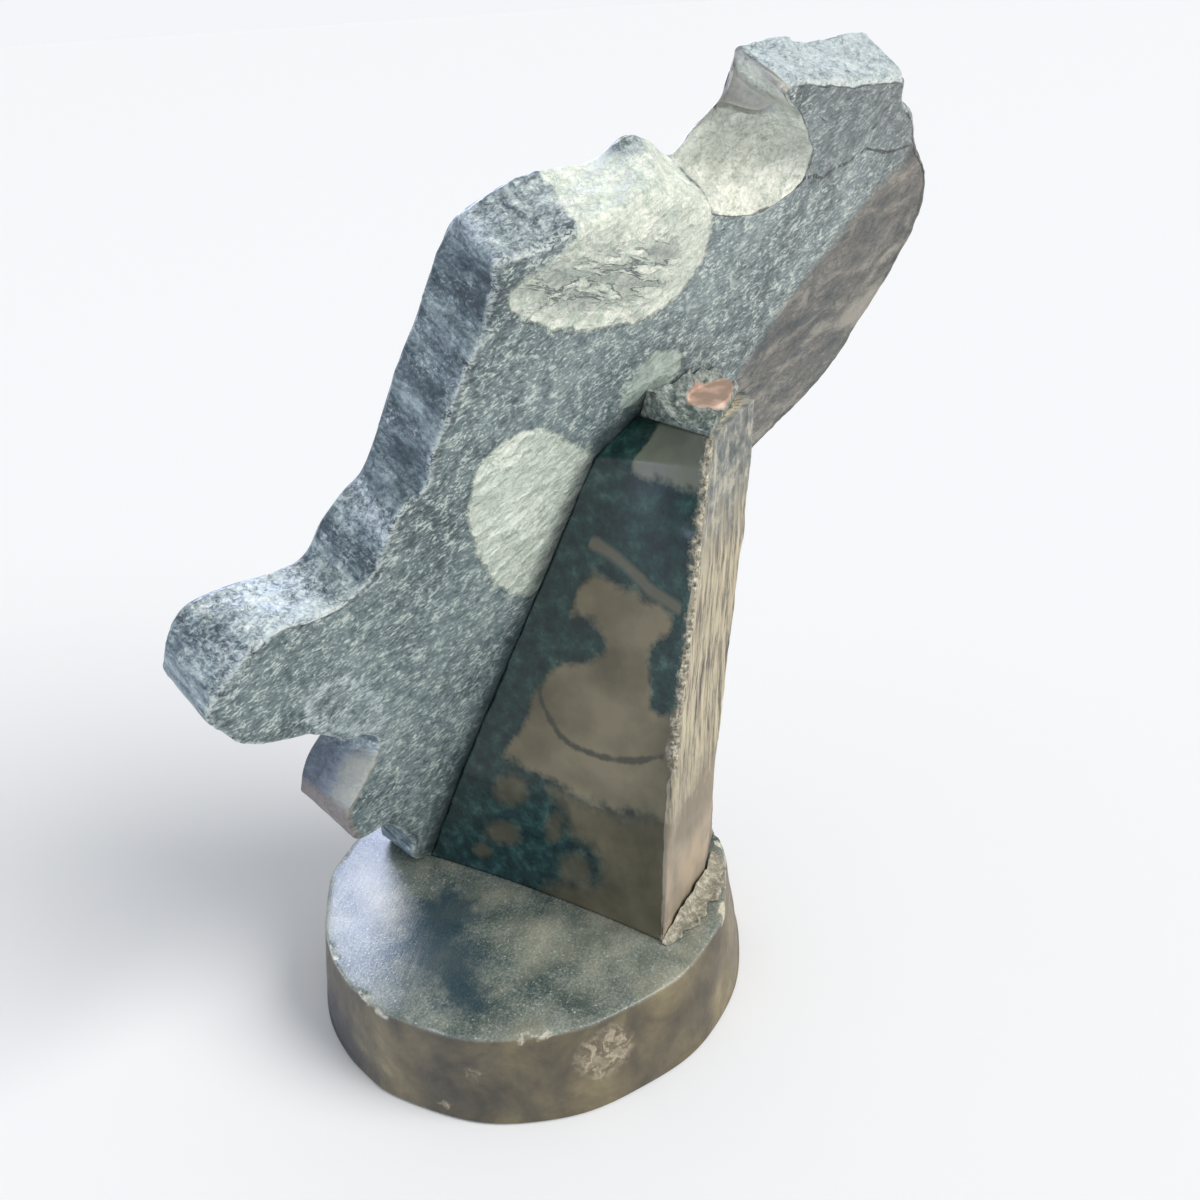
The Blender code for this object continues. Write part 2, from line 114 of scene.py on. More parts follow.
def soft_light(name, place, target, size, watts, hex_colour):
    """A square area light at a place in millimetres, turned to face its target."""
    lamp = bpy.data.lights.new(name, "AREA")
    lamp.size, lamp.energy, lamp.color = size * MM, watts, linear(hex_colour)[:3]
    made = bpy.data.objects.new(name, lamp)
    made.location = Vector(place) * MM
    made.rotation_euler = (Vector(target) - Vector(place)).to_track_quat("-Z", "Y").to_euler()
    bpy.context.scene.collection.objects.link(made)
    return made


key = bpy.data.objects.new("key", bpy.data.lights.new("key", "SUN"))
key.data.energy, key.data.angle = KEY_STRENGTH, math.radians(KEY_SPREAD)
key.data.color = linear("#fffcf8")[:3]
key.rotation_euler = Vector(KEY_FROM).to_track_quat("Z", "Y").to_euler()
bpy.context.scene.collection.objects.link(key)
lit_pieces = bpy.data.collections.new("lit_pieces")
for lamp in (soft_light("window", (-230, -470, 490), (35, -10, 27), 420, 6.1, "#cfd8fc"),
             soft_light("cool_fill", (640, -180, 200), (0, 0, 90), 400, 2.0, "#c8d8fc"),
             soft_light("warm_fill", (-560, 260, 70), (-20, 30, 40), 260, 0.5, "#ffc08a")):
    lamp.light_linking.receiver_collection = lit_pieces

world = bpy.data.worlds.new("studio")
world.use_nodes = True
sky = world.node_tree
up = add_node(sky, "SeparateXYZ", add_node(sky, "TexCoord", out="Generated"), out="Z")
feed(sky.nodes["Background"], "Color", linear(PAPER_WHITE))
feed(sky.nodes["Background"], "Strength",
     add_node(sky, "MapRange", up, WALL_LOW, WALL_HIGH, ROOM_LEVEL, CEILING_LEVEL))
bpy.context.scene.world = world

table_mesh = bpy.data.meshes.new("table")
reach = TABLE_REACH * MM
table_mesh.from_pydata([(-reach, -reach, 0), (reach, -reach, 0), (reach, reach, 0), (-reach, reach, 0)],
                       [], [(0, 1, 2, 3)])
table = bpy.data.objects.new("table", table_mesh)
bpy.context.scene.collection.objects.link(table)
# Matt card: no gloss, so the floor and the room run into each other
paper, _, paper_shader = new_material("matt_white_card")
feed(paper_shader, "Base Color", linear(PAPER_WHITE))
feed(paper_shader, "Roughness", 0.9)
table_mesh.materials.append(paper)


# Base disc
# A round of dark limestone, sawn from a slab and ground round by hand. Its top is polished, its
# side is only smoothed, and its top rim is chipped. The plate and the prop are glued on it.
BASE_TOP_RADIUS, BASE_FOOT_RADIUS, BASE_HEIGHT = 60.0, 63.4, 27.5
BASE_RIM, BASE_BELLY = 1.0, 0.4
BASE_WAVES = ((3, 0.6, 0.35), (7, 2.0, 0.30), (13, 0.0, 0.18))
BASE_STATIONS = 440
BASE_CHIP_DEPTH, BASE_CHIP_SIZE, BASE_CHIP_REACH = 1.7, 5.0, 1.9
BASE_TOP_SHADES = ((0.36, "#44524f"), (0.46, "#636b62"), (0.56, "#7b7e70"), (0.68, "#92907c"))
BASE_SIDE_SHADES = ((0.32, "#3b372e"), (0.46, "#554e3e"), (0.58, "#6a6149"), (0.72, "#877b5e"))
# Blue-black patches on the top, and painted shade low on the side towards +X: the middle, and how
# far each reaches
BASE_DARK_PATCHES = (((37.0, 7.0, 27.5), (12.0, 16.0, 9.0)), ((26.0, -6.0, 27.5), (12.0, 12.0, 9.0)),
               ((42.0, 22.0, 27.5), (8.0, 9.0, 9.0)), ((60.0, -15.0, 5.0), (20.0, 23.0, 18.0)))
# Cut shells in the side: the middle, and how far the shell reaches each way
BASE_SHELLS = (((24.0, 56.6, 17.0), (9.5, 9.5, 8.6)), ((51.0, 34.5, 15.0), (2.4, 2.4, 3.0)),
               ((55.8, 27.0, 3.5), (2.0, 2.0, 1.7)), ((-30.0, -53.0, 12.0), (9.0, 8.0, 6.0)))


def unevenness(points, size, seed, octaves=3):
    """Random hills from about -1 to 1. Each octave gives every corner of a cubic lattice a random
    height and blends the eight heights round a point with the curve 3t^2 - 2t^3. Each octave
    has half the cell size and half the height of the one before."""
    heights = np.random.default_rng(seed).uniform(-1.0, 1.0, 8192)
    total = np.zeros(points.shape[:-1])
    for octave in range(octaves):
        scaled = points * (2**octave / size) + 17.0 * octave
        cell = np.floor(scaled).astype(np.int64)
        t = scaled - cell
        t = t * t * (3.0 - 2.0 * t)
        for corner in range(8):
            step = np.array([corner & 1, corner >> 1 & 1, corner >> 2 & 1])
            at = (cell + step) * np.array([73856093, 19349663, 83492791])
            slot = (at[..., 0] ^ at[..., 1] ^ at[..., 2]) % len(heights)
            share = np.prod(np.where(step == 1, t, 1.0 - t), axis=-1)
            total += heights[slot] * share / 2**octave
    return total


def surface_normals(rows):
    """Unit normals of a grid of closed loops: the cross product of the steps along both ways."""
    around = np.roll(rows, -1, axis=1) - np.roll(rows, 1, axis=1)
    across = np.gradient(rows, axis=0)
    normal = np.cross(around, across)
    return normal / np.maximum(np.linalg.norm(normal, axis=-1, keepdims=True), 1e-9)


def loop_faces(index):
    """Quads between neighbouring loops of a grid of vertex numbers, wrapped round."""
    nxt = np.roll(index, -1, axis=1)
    return np.stack([index[:-1], nxt[:-1], nxt[1:], index[1:]], axis=-1).reshape(-1, 4)


def make_piece(name, points, faces, material, attributes=None):
    """A smooth-shaded mesh object at the origin from points in millimetres, with its pattern
    attributes, each a number or a vector for every point."""
    mesh = bpy.data.meshes.new(name)
    mesh.from_pydata((points * MM).tolist(), [], faces)
    for label, values in (attributes or {}).items():
        kind, field = ("FLOAT_VECTOR", "vector") if values.ndim == 2 else ("FLOAT", "value")
        layer = mesh.attributes.new(label, kind, "POINT")
        layer.data.foreach_set(field, values.astype(np.float32).ravel())
    mesh.materials.append(material)
    mesh.shade_smooth()
    mesh.validate()
    made = bpy.data.objects.new(name, mesh)
    bpy.context.scene.collection.objects.link(made)
    lit_pieces.objects.link(made)
    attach(made, "root")
    return made


def capped_faces(rows):
    """Points and faces of a stack of loops, each end closed by a fan round its middle."""
    count, around = rows.shape[:2]
    index = np.arange(count * around).reshape(count, around)
    faces = loop_faces(index).tolist()
    low, high = count * around, count * around + 1
    faces += np.stack([np.roll(index[0], -1), index[0], np.full(around, low)], axis=1).tolist()
    faces += np.stack([index[-1], np.roll(index[-1], -1), np.full(around, high)], axis=1).tolist()
    ends = np.stack([rows[0].mean(axis=0), rows[-1].mean(axis=0)])
    return np.vstack([rows.reshape(-1, 3), ends]), faces


def base_profile():
    """Radius and height along the turned outline, from the middle of the underside out, up the
    slightly bellied side and back in to the middle of the top. Steps are finest at the rims."""
    rim = np.linspace(0.0, math.pi / 2, 7)
    under = np.linspace(0.02, 1.0, 14)[:-1] * (BASE_FOOT_RADIUS - BASE_RIM)
    foot = np.stack([BASE_FOOT_RADIUS - BASE_RIM * (1 - np.sin(rim)), BASE_RIM * (1 - np.cos(rim))], 1)
    t = np.linspace(0.0, 1.0, 30)[1:-1]
    side_low, side_high = BASE_RIM, BASE_HEIGHT - BASE_RIM
    side = np.stack([BASE_FOOT_RADIUS + (BASE_TOP_RADIUS - BASE_FOOT_RADIUS) * t
                     + BASE_BELLY * 4 * t * (1 - t), side_low + (side_high - side_low) * t], 1)
    top = np.stack([BASE_TOP_RADIUS - BASE_RIM * (1 - np.cos(rim)),
                    BASE_HEIGHT - BASE_RIM * (1 - np.sin(rim))], 1)
    inward = 1.0 - np.linspace(0.0, 1.0, 46)[1:] ** 1.25
    face = (BASE_TOP_RADIUS - BASE_RIM) * np.maximum(inward, 0.02)
    return np.vstack([np.stack([under, 0 * under], 1), foot, side, top,
                      np.stack([face, np.full(len(face), BASE_HEIGHT)], 1)])


def base_rows():
    """Loops of the profile round the axis and how worn each point is. The outline waves, the side
    has hand-ground flats, and flakes are knocked off the top rim: it sinks where a hill rises
    over its threshold."""
    radius, height = base_profile().T
    turn = np.arange(BASE_STATIONS) * 2 * math.pi / BASE_STATIONS
    waves = sum(size * np.sin(count * turn + phase) for count, phase, size in BASE_WAVES)
    share = np.clip(radius / BASE_TOP_RADIUS, 0.0, 1.0)
    reach_out = radius[:, None] + waves[None, :] * share[:, None] ** 4
    rows = np.stack([reach_out * np.cos(turn), reach_out * np.sin(turn),
                     np.broadcast_to(height[:, None], reach_out.shape)], axis=-1)
    normal = surface_normals(rows)
    side = np.clip((radius - BASE_TOP_RADIUS + 2.5) / 2.0, 0, 1)[:, None] * (rows[..., 2] > 1.5)
    flats = 0.4 * unevenness(rows, 13.0, 3, 3) - 0.3
    top_wear = 0.05 * unevenness(rows, 9.0, 5, 3) * (rows[..., 2] > BASE_HEIGHT - 0.5)
    to_rim = np.hypot(radius - BASE_TOP_RADIUS, height - BASE_HEIGHT)[:, None]
    flake = np.clip(unevenness(rows, BASE_CHIP_SIZE, 11, 3) - 0.40, 0.0, 0.6)
    flake = flake * np.exp(-(to_rim / BASE_CHIP_REACH) ** 2)
    moved = rows + normal * (side * flats + top_wear)[..., None]
    moved[..., :2] -= (moved[..., :2] / np.maximum(radius, 1.0)[:, None, None]
                       * (BASE_CHIP_DEPTH * flake)[..., None])
    moved[..., 2] -= BASE_CHIP_DEPTH * flake
    worn = np.exp(-(to_rim / 0.8) ** 2) * (0.45 + 0.6 * unevenness(rows, 8.0, 12, 3))
    moved[..., :2] = np.clip(moved[..., :2], -BASE_FOOT_RADIUS, BASE_FOOT_RADIUS)
    return moved, np.clip(worn + 5.0 * flake, 0.0, 1.0)


def set_ramp(colour, stops):
    """Gives the colour ramp behind an output its stops, each a place from 0 to 1 and an sRGB hex
    colour, and returns the output."""
    elements = colour.node.color_ramp.elements
    while len(elements) < len(stops):
        elements.new(0.5)
    for element, (place, hex_colour) in zip(elements, stops):
        element.position, element.color = place, linear(hex_colour)
    return colour


def lay_over(put, under, over, cover):
    """The colour under with the colour over on top, as far as cover says. A colour is a socket or
    an sRGB hex value."""
    over = linear(over) if isinstance(over, str) else over
    return put("Mix", cover, *[None] * 5, under, over, data_type="RGBA", out=2)


def in_millimetres(put):
    """Object coordinates in millimetres."""
    return put("Mapping", put("TexCoord", out="Object"), Scale=(1.0 / MM, 1.0 / MM, 1.0 / MM))


def stretched(put, place, size, turn=(0.0, 0.0, 0.0)):
    """Place counted in cells of a size in millimetres each way, turned by angles in degrees."""
    return put("Mapping", place, None, tuple(math.radians(angle) for angle in turn), size,
               vector_type="TEXTURE")


def oval_cover(put, place, oval, start, full, most):
    """How far an oval patch, a middle and a reach each way, covers the stone: nothing past start
    and most within full, both shares of its reach."""
    space = put("Mapping", place, oval[0], None, oval[1], vector_type="TEXTURE")
    return put("MapRange", put("VectorMath:LENGTH", space, out="Value"), start, full, 0.0, most)


def finish_surface(put, shader, colour, rough, height, strength, depth, ior=1.5):
    """Gives a shader its colour, roughness and IOR, and bumps as deep as depth millimetres."""
    bump = put("Bump", Strength=strength, Distance=depth * MM, Height=height)
    for name, value in (("Base Color", colour), ("Roughness", rough), ("Normal", bump), ("IOR", ior)):
        feed(shader, name, value)


def base_colour(put, place, clouds, grit):
    """Grey-green top full of pale specks and olive brown side, with blue-black patches and the shells
    laid over them; the patch low on the side is painted shade. The patches' outlines are torn and
    the shells' bent by the same noise."""
    drift = put("TexNoise", place, Scale=1 / 9, Detail=3.0)
    top, side = (set_ramp(put("ValToRGB", clouds), stops) for stops in (BASE_TOP_SHADES, BASE_SIDE_SHADES))
    specks = put("MapRange", put("Math:MULTIPLY_ADD", drift, 0.5, grit), 0.66, 1.05, 0.0, 0.6)
    top = lay_over(put, top, "#b9beb2", specks)
    # Sparse pale crystals, brightened into painted glints
    top = lay_over(put, top, "#dfe3d6", put("MapRange", grit, 0.64, 0.68, 0.0, 0.6))
    ragged = put("TexNoise", place, Scale=1 / 5.0, Detail=5.0, Roughness=0.7, out="Color")
    ragged = put("VectorMath:SUBTRACT", ragged, (0.5, 0.5, 0.5))
    bent, torn = (put("VectorMath:MULTIPLY_ADD", ragged, shift, place)
                  for shift in ((7.0, 7.0, 7.0), (22.0, 22.0, 8.0)))
    # Blue-black patches; the last one, low on the side, is painted shade
    for oval in BASE_DARK_PATCHES:
        cover = oval_cover(put, torn, oval, 1.15, 0.45, 0.78)
        top, side = (lay_over(put, part, shade, cover)
                     for part, shade in ((top, "#213c48"), (side, "#191f30")))
    curls = put("TexNoise", bent, Scale=1 / 3.2, Detail=4.0, Distortion=1.2)
    calcite = set_ramp(put("ValToRGB", curls), ((0.40, "#5a5141"), (0.50, "#7d735f"), (0.62, "#aca18b")))
    for oval in BASE_SHELLS:
        side = lay_over(put, side, calcite, oval_cover(put, bent, oval, 1.0, 0.65, 0.8))
    return top, side


def polished_base_limestone():
    """Dark fossil limestone under a worn polish: blue-black and grey-green clouds full of pale
    specks on the top, olive brown on the side, pale bruises on the rim, cut shells in the side."""
    made, put, shader = new_material("polished_base_limestone")
    place = in_millimetres(put)
    # Clouds 20 mm across, and specks under 1 mm that gather in drifts of 9 mm
    clouds = put("TexNoise", place, Scale=1 / 20, Detail=5.0, Roughness=0.6, Distortion=0.3)
    grit = put("TexNoise", place, Scale=1 / 0.7, Detail=4.0, Roughness=0.7)
    top, side = base_colour(put, place, clouds, grit)
    on_top = put("MapRange", put("SeparateXYZ", place, out="Z"), BASE_HEIGHT - 1.4, BASE_HEIGHT - 0.3)
    bruise = put("Math:MULTIPLY", put("Attribute", attribute_name="wear", out="Fac"), grit)
    colour = lay_over(put, lay_over(put, side, top, on_top), "#c4c2ae",
                      put("MapRange", bruise, 0.20, 0.52, 0.0, 0.9))
    # Hair scratches 0.6 mm apart and 20 mm long
    scratches = put("TexNoise", put("Mapping", place, None, (0.0, 0.0, 0.6), (20.0, 0.6, 2.5),
                                    vector_type="TEXTURE"), Scale=1.0, Detail=5.0, Roughness=0.7)
    gloss = put("MapRange", scratches, 0.35, 0.7, 0.24, 0.38)
    gloss = put("Math:ADD", gloss, put("MapRange", on_top, 0.0, 1.0, 0.16, 0.0))
    finish_surface(put, shader, colour, gloss, put("Math:ADD", scratches, grit), 0.5, 0.16, 1.52)
    return made


rows, worn = base_rows()
points, faces = capped_faces(rows)
base = make_piece("base_disc_stone", points, faces, polished_base_limestone(),
                  {"wear": np.concatenate([worn.ravel(), [0.0, 0.0]])})
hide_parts("base_disc")


# Fossil plate
# A slab of dark limestone 16 mm thick, cut along the outlines of the shells in it. Its back is
# sawn, its edges are ground, and on its polished show face the shells stand up in relief.
PLATE_THICKNESS, PLATE_LEAN, PLATE_CORNER = 16.0, 22.0, (13.6, -29.8)
PLATE_GAP, PLATE_TOP = 0.3, 248.9
PLATE_FOOT_DROP = PLATE_THICKNESS * math.tan(math.radians(PLATE_LEAN))
# One row for each turn of the outline, clockwise seen from the back: x and z on the back face,
# then on the show face, with x along the width and z up the slope from the plate's corner
PLATE_OUTLINE = (
    (0.0, PLATE_GAP, 0.0, PLATE_GAP - PLATE_FOOT_DROP), (7.7, 14.0, 8.0, 12.0),
    (14.0, 26.0, 15.0, 25.0), (20.5, 33.0, 22.0, 32.5), (26.0, 33.0, 29.0, 37.5),
    (31.0, 37.0, 37.0, 45.0), (34.0, 50.0, 37.6, 50.5), (31.0, 58.0, 37.2, 55.5),
    (28.0, 66.0, 35.4, 61.5), (27.0, 76.0, 30.0, 73.0), (37.5, 83.0, 38.0, 82.0),
    (46.7, 91.0, 47.0, 90.0), (59.0, 96.5, 59.5, 95.5), (67.0, 103.0, 67.5, 102.5),
    (72.4, 111.5, 73.6, 113.5), (73.2, 117.5, 74.2, 120.5), (69.0, 123.0, 72.2, 127.5),
    (64.0, 129.0, 68.4, 132.0), (57.0, 131.5, 60.0, 132.8), (47.0, 130.6, 47.0, 131.4),
    (40.0, 132.0, 41.2, 133.4), (34.5, 136.5, 38.0, 140.5), (32.4, 144.0, 32.8, 147.0),
    (30.0, 150.5, 28.4, 150.5), (23.5, 155.5, 25.8, 158.0), (23.2, 162.5, 24.6, 165.0),
    (20.6, 172.5, 22.0, 176.0), (18.2, 181.0, 19.2, 184.6), (15.4, 189.0, 17.4, 192.0),
    (14.2, 198.0, 15.0, 200.0), (14.6, 204.2, 12.4, 205.2), (7.0, 204.6, 5.4, 208.8),
    (-2.6, 206.6, -3.4, 211.4), (-10.0, 209.0, -14.0, 211.6), (-18.6, 210.4, -23.6, 212.2),
    (-27.4, 211.6, -30.8, 216.0), (-36.0, 209.6, -37.6, 214.4), (-45.2, 206.2, -46.8, 209.8),
    (-55.0, 202.8, -51.8, 214.5), (-66.0, 202.0, -56.8, 218.6), (-75.0, 205.2, -59.4, 221.0),
    (-77.6, 211.6, -59.9, 224.6), (-70.0, 220.2, -59.7, 228.2), (-60.4, 226.4, -59.9, 231.0),
    (-58.0, 229.6, -62.6, 232.0), (-68.0, 230.4, -74.6, 233.0), (-83.0, 228.8, -86.0, 230.8),
    (-97.0, 228.2, -99.0, 231.8), (-108.0, 227.4, -109.6, 231.0), (-111.6, 221.6, -113.0, 223.4),
    (-118.0, 218.2, -119.4, 219.4), (-123.6, 211.4, -124.6, 212.2), (-131.0, 205.0, -131.8, 205.8),
    (-138.4, 198.6, -139.0, 199.0), (-143.8, 190.6, -144.2, 190.8), (-144.6, 182.0, -144.8, 182.0),
    (-141.8, 172.4, -141.8, 172.2), (-136.6, 158.0, -136.4, 157.8), (-130.6, 143.8, -130.2, 143.4),
    (-121.6, 133.6, -121.0, 133.0), (-110.0, 126.8, -109.4, 126.0), (-98.0, 117.0, -97.6, 116.0),
    (-88.0, 102.0, -87.8, 101.0), (-77.0, 91.0, -76.8, 90.0), (-69.0, 72.0, -68.6, 71.0),
    (-66.0, 52.0, -65.6, 51.0), (-57.0, 35.0, -56.8, 33.0), (-51.0, 17.0, -50.8, 13.0),
    (-48.0, PLATE_GAP, -48.0, PLATE_GAP - PLATE_FOOT_DROP),
)
# The faces are filled from a spine inside the outline. Each row gives a point of the spine, x and
# z, and the outline rows that it reaches to on the long-lobe side and on the broad side.
PLATE_SPINE = (
    (-24.0, 20.0, -0.5, 68.5), (-21.0, 34.0, 3.0, 66.6), (-14.0, 54.0, 6.5, 65.0),
    (-8.0, 82.0, 10.0, 63.6), (-2.0, 104.0, 14.5, 62.2), (-8.0, 124.0, 19.0, 61.2),
    (-22.0, 148.0, 23.5, 60.0), (-38.0, 168.0, 29.5, 58.4), (-52.0, 180.0, 34.0, 57.0),
    (-70.0, 190.0, 38.5, 55.6), (-86.0, 202.0, 41.0, 54.0), (-92.0, 209.0, 42.4, 53.0),
    (-97.0, 213.0, 44.0, 52.0), (-101.0, 216.0, 48.0, 48.0),
)
PLATE_STATIONS = 430
PLATE_BACK_ROWS, PLATE_EDGE_ROWS, PLATE_SHOW_ROWS, PLATE_RIM_ROWS = 30, 15, 58, 5
# Radius of the rims and how far it wanders: the back's is worn, the show face's is crisp
BACK_RIM, BACK_RIM_WANDER, SHOW_RIM, SHOW_RIM_WANDER, RIM_LEAST = 0.9, 0.8, 0.7, 0.3, 0.15
# The foot is a straight line between the outline's last row and its first
FOOT_FROM, FOOT_TO = 68.0, 69.0


def closed_curve(corners, at):
    """Points of the closed Catmull-Rom curve through rows of numbers: at whole numbers it passes
    through the rows, and between them it blends the four nearest with cubic weights."""
    corners = np.asarray(corners, float)
    first = np.floor(at).astype(int)
    t = (at - first)[:, None]
    a, b, c, d = (corners[(first + k) % len(corners)] for k in (-1, 0, 1, 2))
    return 0.5 * (2 * b + (c - a) * t + (2 * a - 5 * b + 4 * c - d) * t**2
                  + (3 * b - a - 3 * c + d) * t**3)


def plate_stations():
    """Outline places in order round the plate, and for each the share of the spine it belongs to:
    both sides have as many stations as the spine, so their innermost points meet in pairs."""
    spine = np.array(PLATE_SPINE)
    long_side, broad_side = spine[:, 2], spine[:, 3]
    table = np.linspace(0.0, len(spine) - 1.0, 4000)
    knots = np.arange(len(spine))
    lengths = []
    for side in (long_side, broad_side):
        path = closed_curve(PLATE_OUTLINE, np.interp(table, knots, side))
        lengths.append(np.concatenate([[0.0], np.cumsum(np.linalg.norm(np.diff(path, axis=0), axis=1))]))
    pace = lengths[0] / lengths[0][-1] + lengths[1] / lengths[1][-1]
    share = np.interp(np.linspace(0.0, 2.0, PLATE_STATIONS + 1), pace, table)
    up = np.interp(share, knots, long_side)
    down = np.interp(share, knots, broad_side)
    at = np.concatenate([up, down[-2:0:-1]])
    return at, np.concatenate([share, share[-2:0:-1]])


def outward(loop):
    """Unit directions out of a closed (x, z) loop."""
    along = np.roll(loop, -1, axis=0) - np.roll(loop, 1, axis=0)
    along /= np.maximum(np.linalg.norm(along, axis=1)[:, None], 1e-9)
    normal = np.stack([along[:, 1], -along[:, 0]], axis=1)
    twice_area = np.sum(loop[:, 0] * np.roll(loop[:, 1], -1) - loop[:, 1] * np.roll(loop[:, 0], -1))
    return normal if twice_area > 0 else -normal


at, spine_at = plate_stations()
foot = (at < 0.0) | (at > FOOT_FROM)
foot_share = np.where(at < 0.0, at + FOOT_TO, at) - FOOT_FROM
heel, toe = np.array(PLATE_OUTLINE[-1]), np.array(PLATE_OUTLINE[0])
outline = np.where(foot[:, None], heel + (toe - heel) * foot_share[:, None],
                   closed_curve(PLATE_OUTLINE, at))
spine_curve = np.stack([np.interp(spine_at, np.arange(len(PLATE_SPINE)), np.array(PLATE_SPINE)[:, k])
                        for k in (0, 1)], axis=1)

# Relief on the show face, millimetres. Straight shells: x and z of the open end, x and z of the
# tip, radius of the open end, chambers. Coiled shells: x and z of the centre, radius, height.
STRAIGHT_SHELLS = (
    ((62.0, 113.0), (-44.0, 143.0), 11.0, 15), ((-90.0, 216.0), (-22.0, 42.0), 15.5, 18),
    ((-130.0, 183.0), (-64.0, 84.0), 12.0, 14), ((14.0, 112.0), (-6.0, 30.0), 8.0, 11),
)
SHELL_TIP_SHARE, SHELL_CHAMBER_SWELL, SHELL_RISE_SHARE = 0.16, 0.045, 0.55
SHELL_MOUTH_BLUNT, SHELL_TIP_BLUNT, SEPTUM_DEPTH, SEPTUM_WIDTH = 0.16, 0.10, 0.30, 0.11
COILED_SHELLS = (((-14.0, 184.0), 25.0, 7.5), ((-98.0, 170.0), 8.5, 3.6))
COIL_GROWTH, COIL_GROOVE, COIL_RIBS, COIL_RIB_HEIGHT, COIL_RIB_TWIST = 2.1, 0.42, 26, 0.05, 9.0


def straight_shell(x, z, mouth, tip, radius, chambers):
    """How far inside a straight shell each point lies, its height, the chambers counted from the
    open end, and the place across from -1 to 1. The shell is 0.55 of a round section whose
    radius shrinks evenly to the tip and swells at each chamber, with a groove at each septum."""
    length = math.hypot(tip[0] - mouth[0], tip[1] - mouth[1])
    ux, uz = (tip[0] - mouth[0]) / length, (tip[1] - mouth[1]) / length
    s = ((x - mouth[0]) * ux + (z - mouth[1]) * uz) / length
    t = (x - mouth[0]) * -uz + (z - mouth[1]) * ux
    held = np.clip(s, 0.0, 1.0)
    wide = radius * (1.0 - (1.0 - SHELL_TIP_SHARE) * held)
    wide *= 1.0 - SHELL_CHAMBER_SWELL * np.cos(2 * math.pi * chambers * held)
    past = np.where(s < 0, -s * length / (SHELL_MOUTH_BLUNT * radius),
                    np.maximum(s - 1.0, 0) * length / (SHELL_TIP_BLUNT * radius))
    level = 1.0 - np.sqrt((t / wide) ** 2 + past**2)
    section = np.clip(1.0 - (t / wide) ** 2 - past**2, 0.0, 1.0)
    groove = SEPTUM_DEPTH * np.exp(-(((chambers * held + 0.5) % 1.0 - 0.5) / SEPTUM_WIDTH) ** 2)
    height = SHELL_RISE_SHARE * wide * section**0.8 - groove * section**0.5
    return level, height, chambers * s, t / wide


def coiled_shell(x, z, middle, radius, height):
    """The same for a coil: a ribbed dome with a groove along r = growth^(whorl - turn), whose
    pattern is the whorl and the share of the radius."""
    r, a = np.hypot(x - middle[0], z - middle[1]) / radius, np.arctan2(z - middle[1], x - middle[0])
    out = np.log(np.maximum(r, 0.05))
    whorl = out / math.log(COIL_GROWTH) + a / (2 * math.pi)
    groove = COIL_GROOVE * (0.5 + 0.5 * np.cos(2 * math.pi * whorl)) ** 3
    ribs = COIL_RIB_HEIGHT * np.cos(COIL_RIBS * a - COIL_RIB_TWIST * out)
    dome = np.sqrt(np.clip(1.0 - r**2.6, 0.0, 1.0))
    return 1.0 - r, height * dome * (1.0 - groove + ribs), whorl, r


def relief(x, z):
    """Height of the shells over the show face, the pattern of the shell that each point is most
    inside of, with how far inside, and 1 where that shell is coiled."""
    tall, inside = np.zeros_like(x), np.full(x.shape, -9.0)
    count, across, kind = np.zeros_like(x), np.zeros_like(x), np.zeros_like(x)
    shells = [(*straight_shell(x, z, *row), 0.0) for row in STRAIGHT_SHELLS]
    shells += [(*coiled_shell(x, z, *row), 1.0) for row in COILED_SHELLS]
    for level, height, along, sideways, coiled in shells:
        better = level > inside
        inside, tall = np.where(better, level, inside), np.maximum(tall, height)
        count, across, kind = (np.where(better, new, old) for new, old in
                               ((along, count), (sideways, across), (coiled, kind)))
    return tall, np.stack([count, across, inside], axis=-1), kind


def plate_rows():
    """Loops from the spine out over the back face, round its worn rim, across the edge face and
    in over the show face to the spine again: point = spine + (outline - spine) * share, with
    the rims as quarter turns whose radius wanders."""
    back, show = outline[:, :2], outline[:, 2:]
    free = np.where(foot, 0.0, 1.0)
    ring = np.column_stack([back[:, 0], np.zeros(len(back)), back[:, 1]])
    wander = np.clip(unevenness(ring, 9.0, 21, 3), -0.6, 1.2)
    worn = (BACK_RIM + BACK_RIM_WANDER * wander) * free + RIM_LEAST
    crisp = (SHOW_RIM + SHOW_RIM_WANDER * unevenness(ring, 14.0, 22, 2)) * free + RIM_LEAST
    back_out, show_out = outward(back), outward(show)
    loops = []
    for share in np.linspace(0.0, 1.0, PLATE_BACK_ROWS, endpoint=False) ** 0.92:
        rim = back - back_out * worn[:, None]
        loops.append((spine_curve + (rim - spine_curve) * share, np.zeros(len(at))))
    for angle in np.linspace(0.0, math.pi / 2, PLATE_RIM_ROWS):
        loops.append((back - back_out * (worn * (1 - math.sin(angle)))[:, None],
                      -worn * (1 - math.cos(angle))))
    for share in np.linspace(0.0, 1.0, PLATE_EDGE_ROWS + 2)[1:-1]:
        depth = -(worn + (PLATE_THICKNESS - worn - crisp) * share)
        mix = (-depth / PLATE_THICKNESS)[:, None]
        loops.append((back * (1 - mix) + show * mix, depth))
    for angle in np.linspace(math.pi / 2, 0.0, PLATE_RIM_ROWS):
        loops.append((show - show_out * (crisp * (1 - math.sin(angle)))[:, None],
                      -PLATE_THICKNESS + crisp * (1 - math.cos(angle))))
    for share in np.linspace(1.0, 0.0, PLATE_SHOW_ROWS + 1)[1:]:
        rim = show - show_out * crisp[:, None]
        loops.append((spine_curve + (rim - spine_curve) * share, np.full(len(at), -PLATE_THICKNESS)))
    return np.stack([np.column_stack([flat[:, 0], y, flat[:, 1]]) for flat, y in loops])


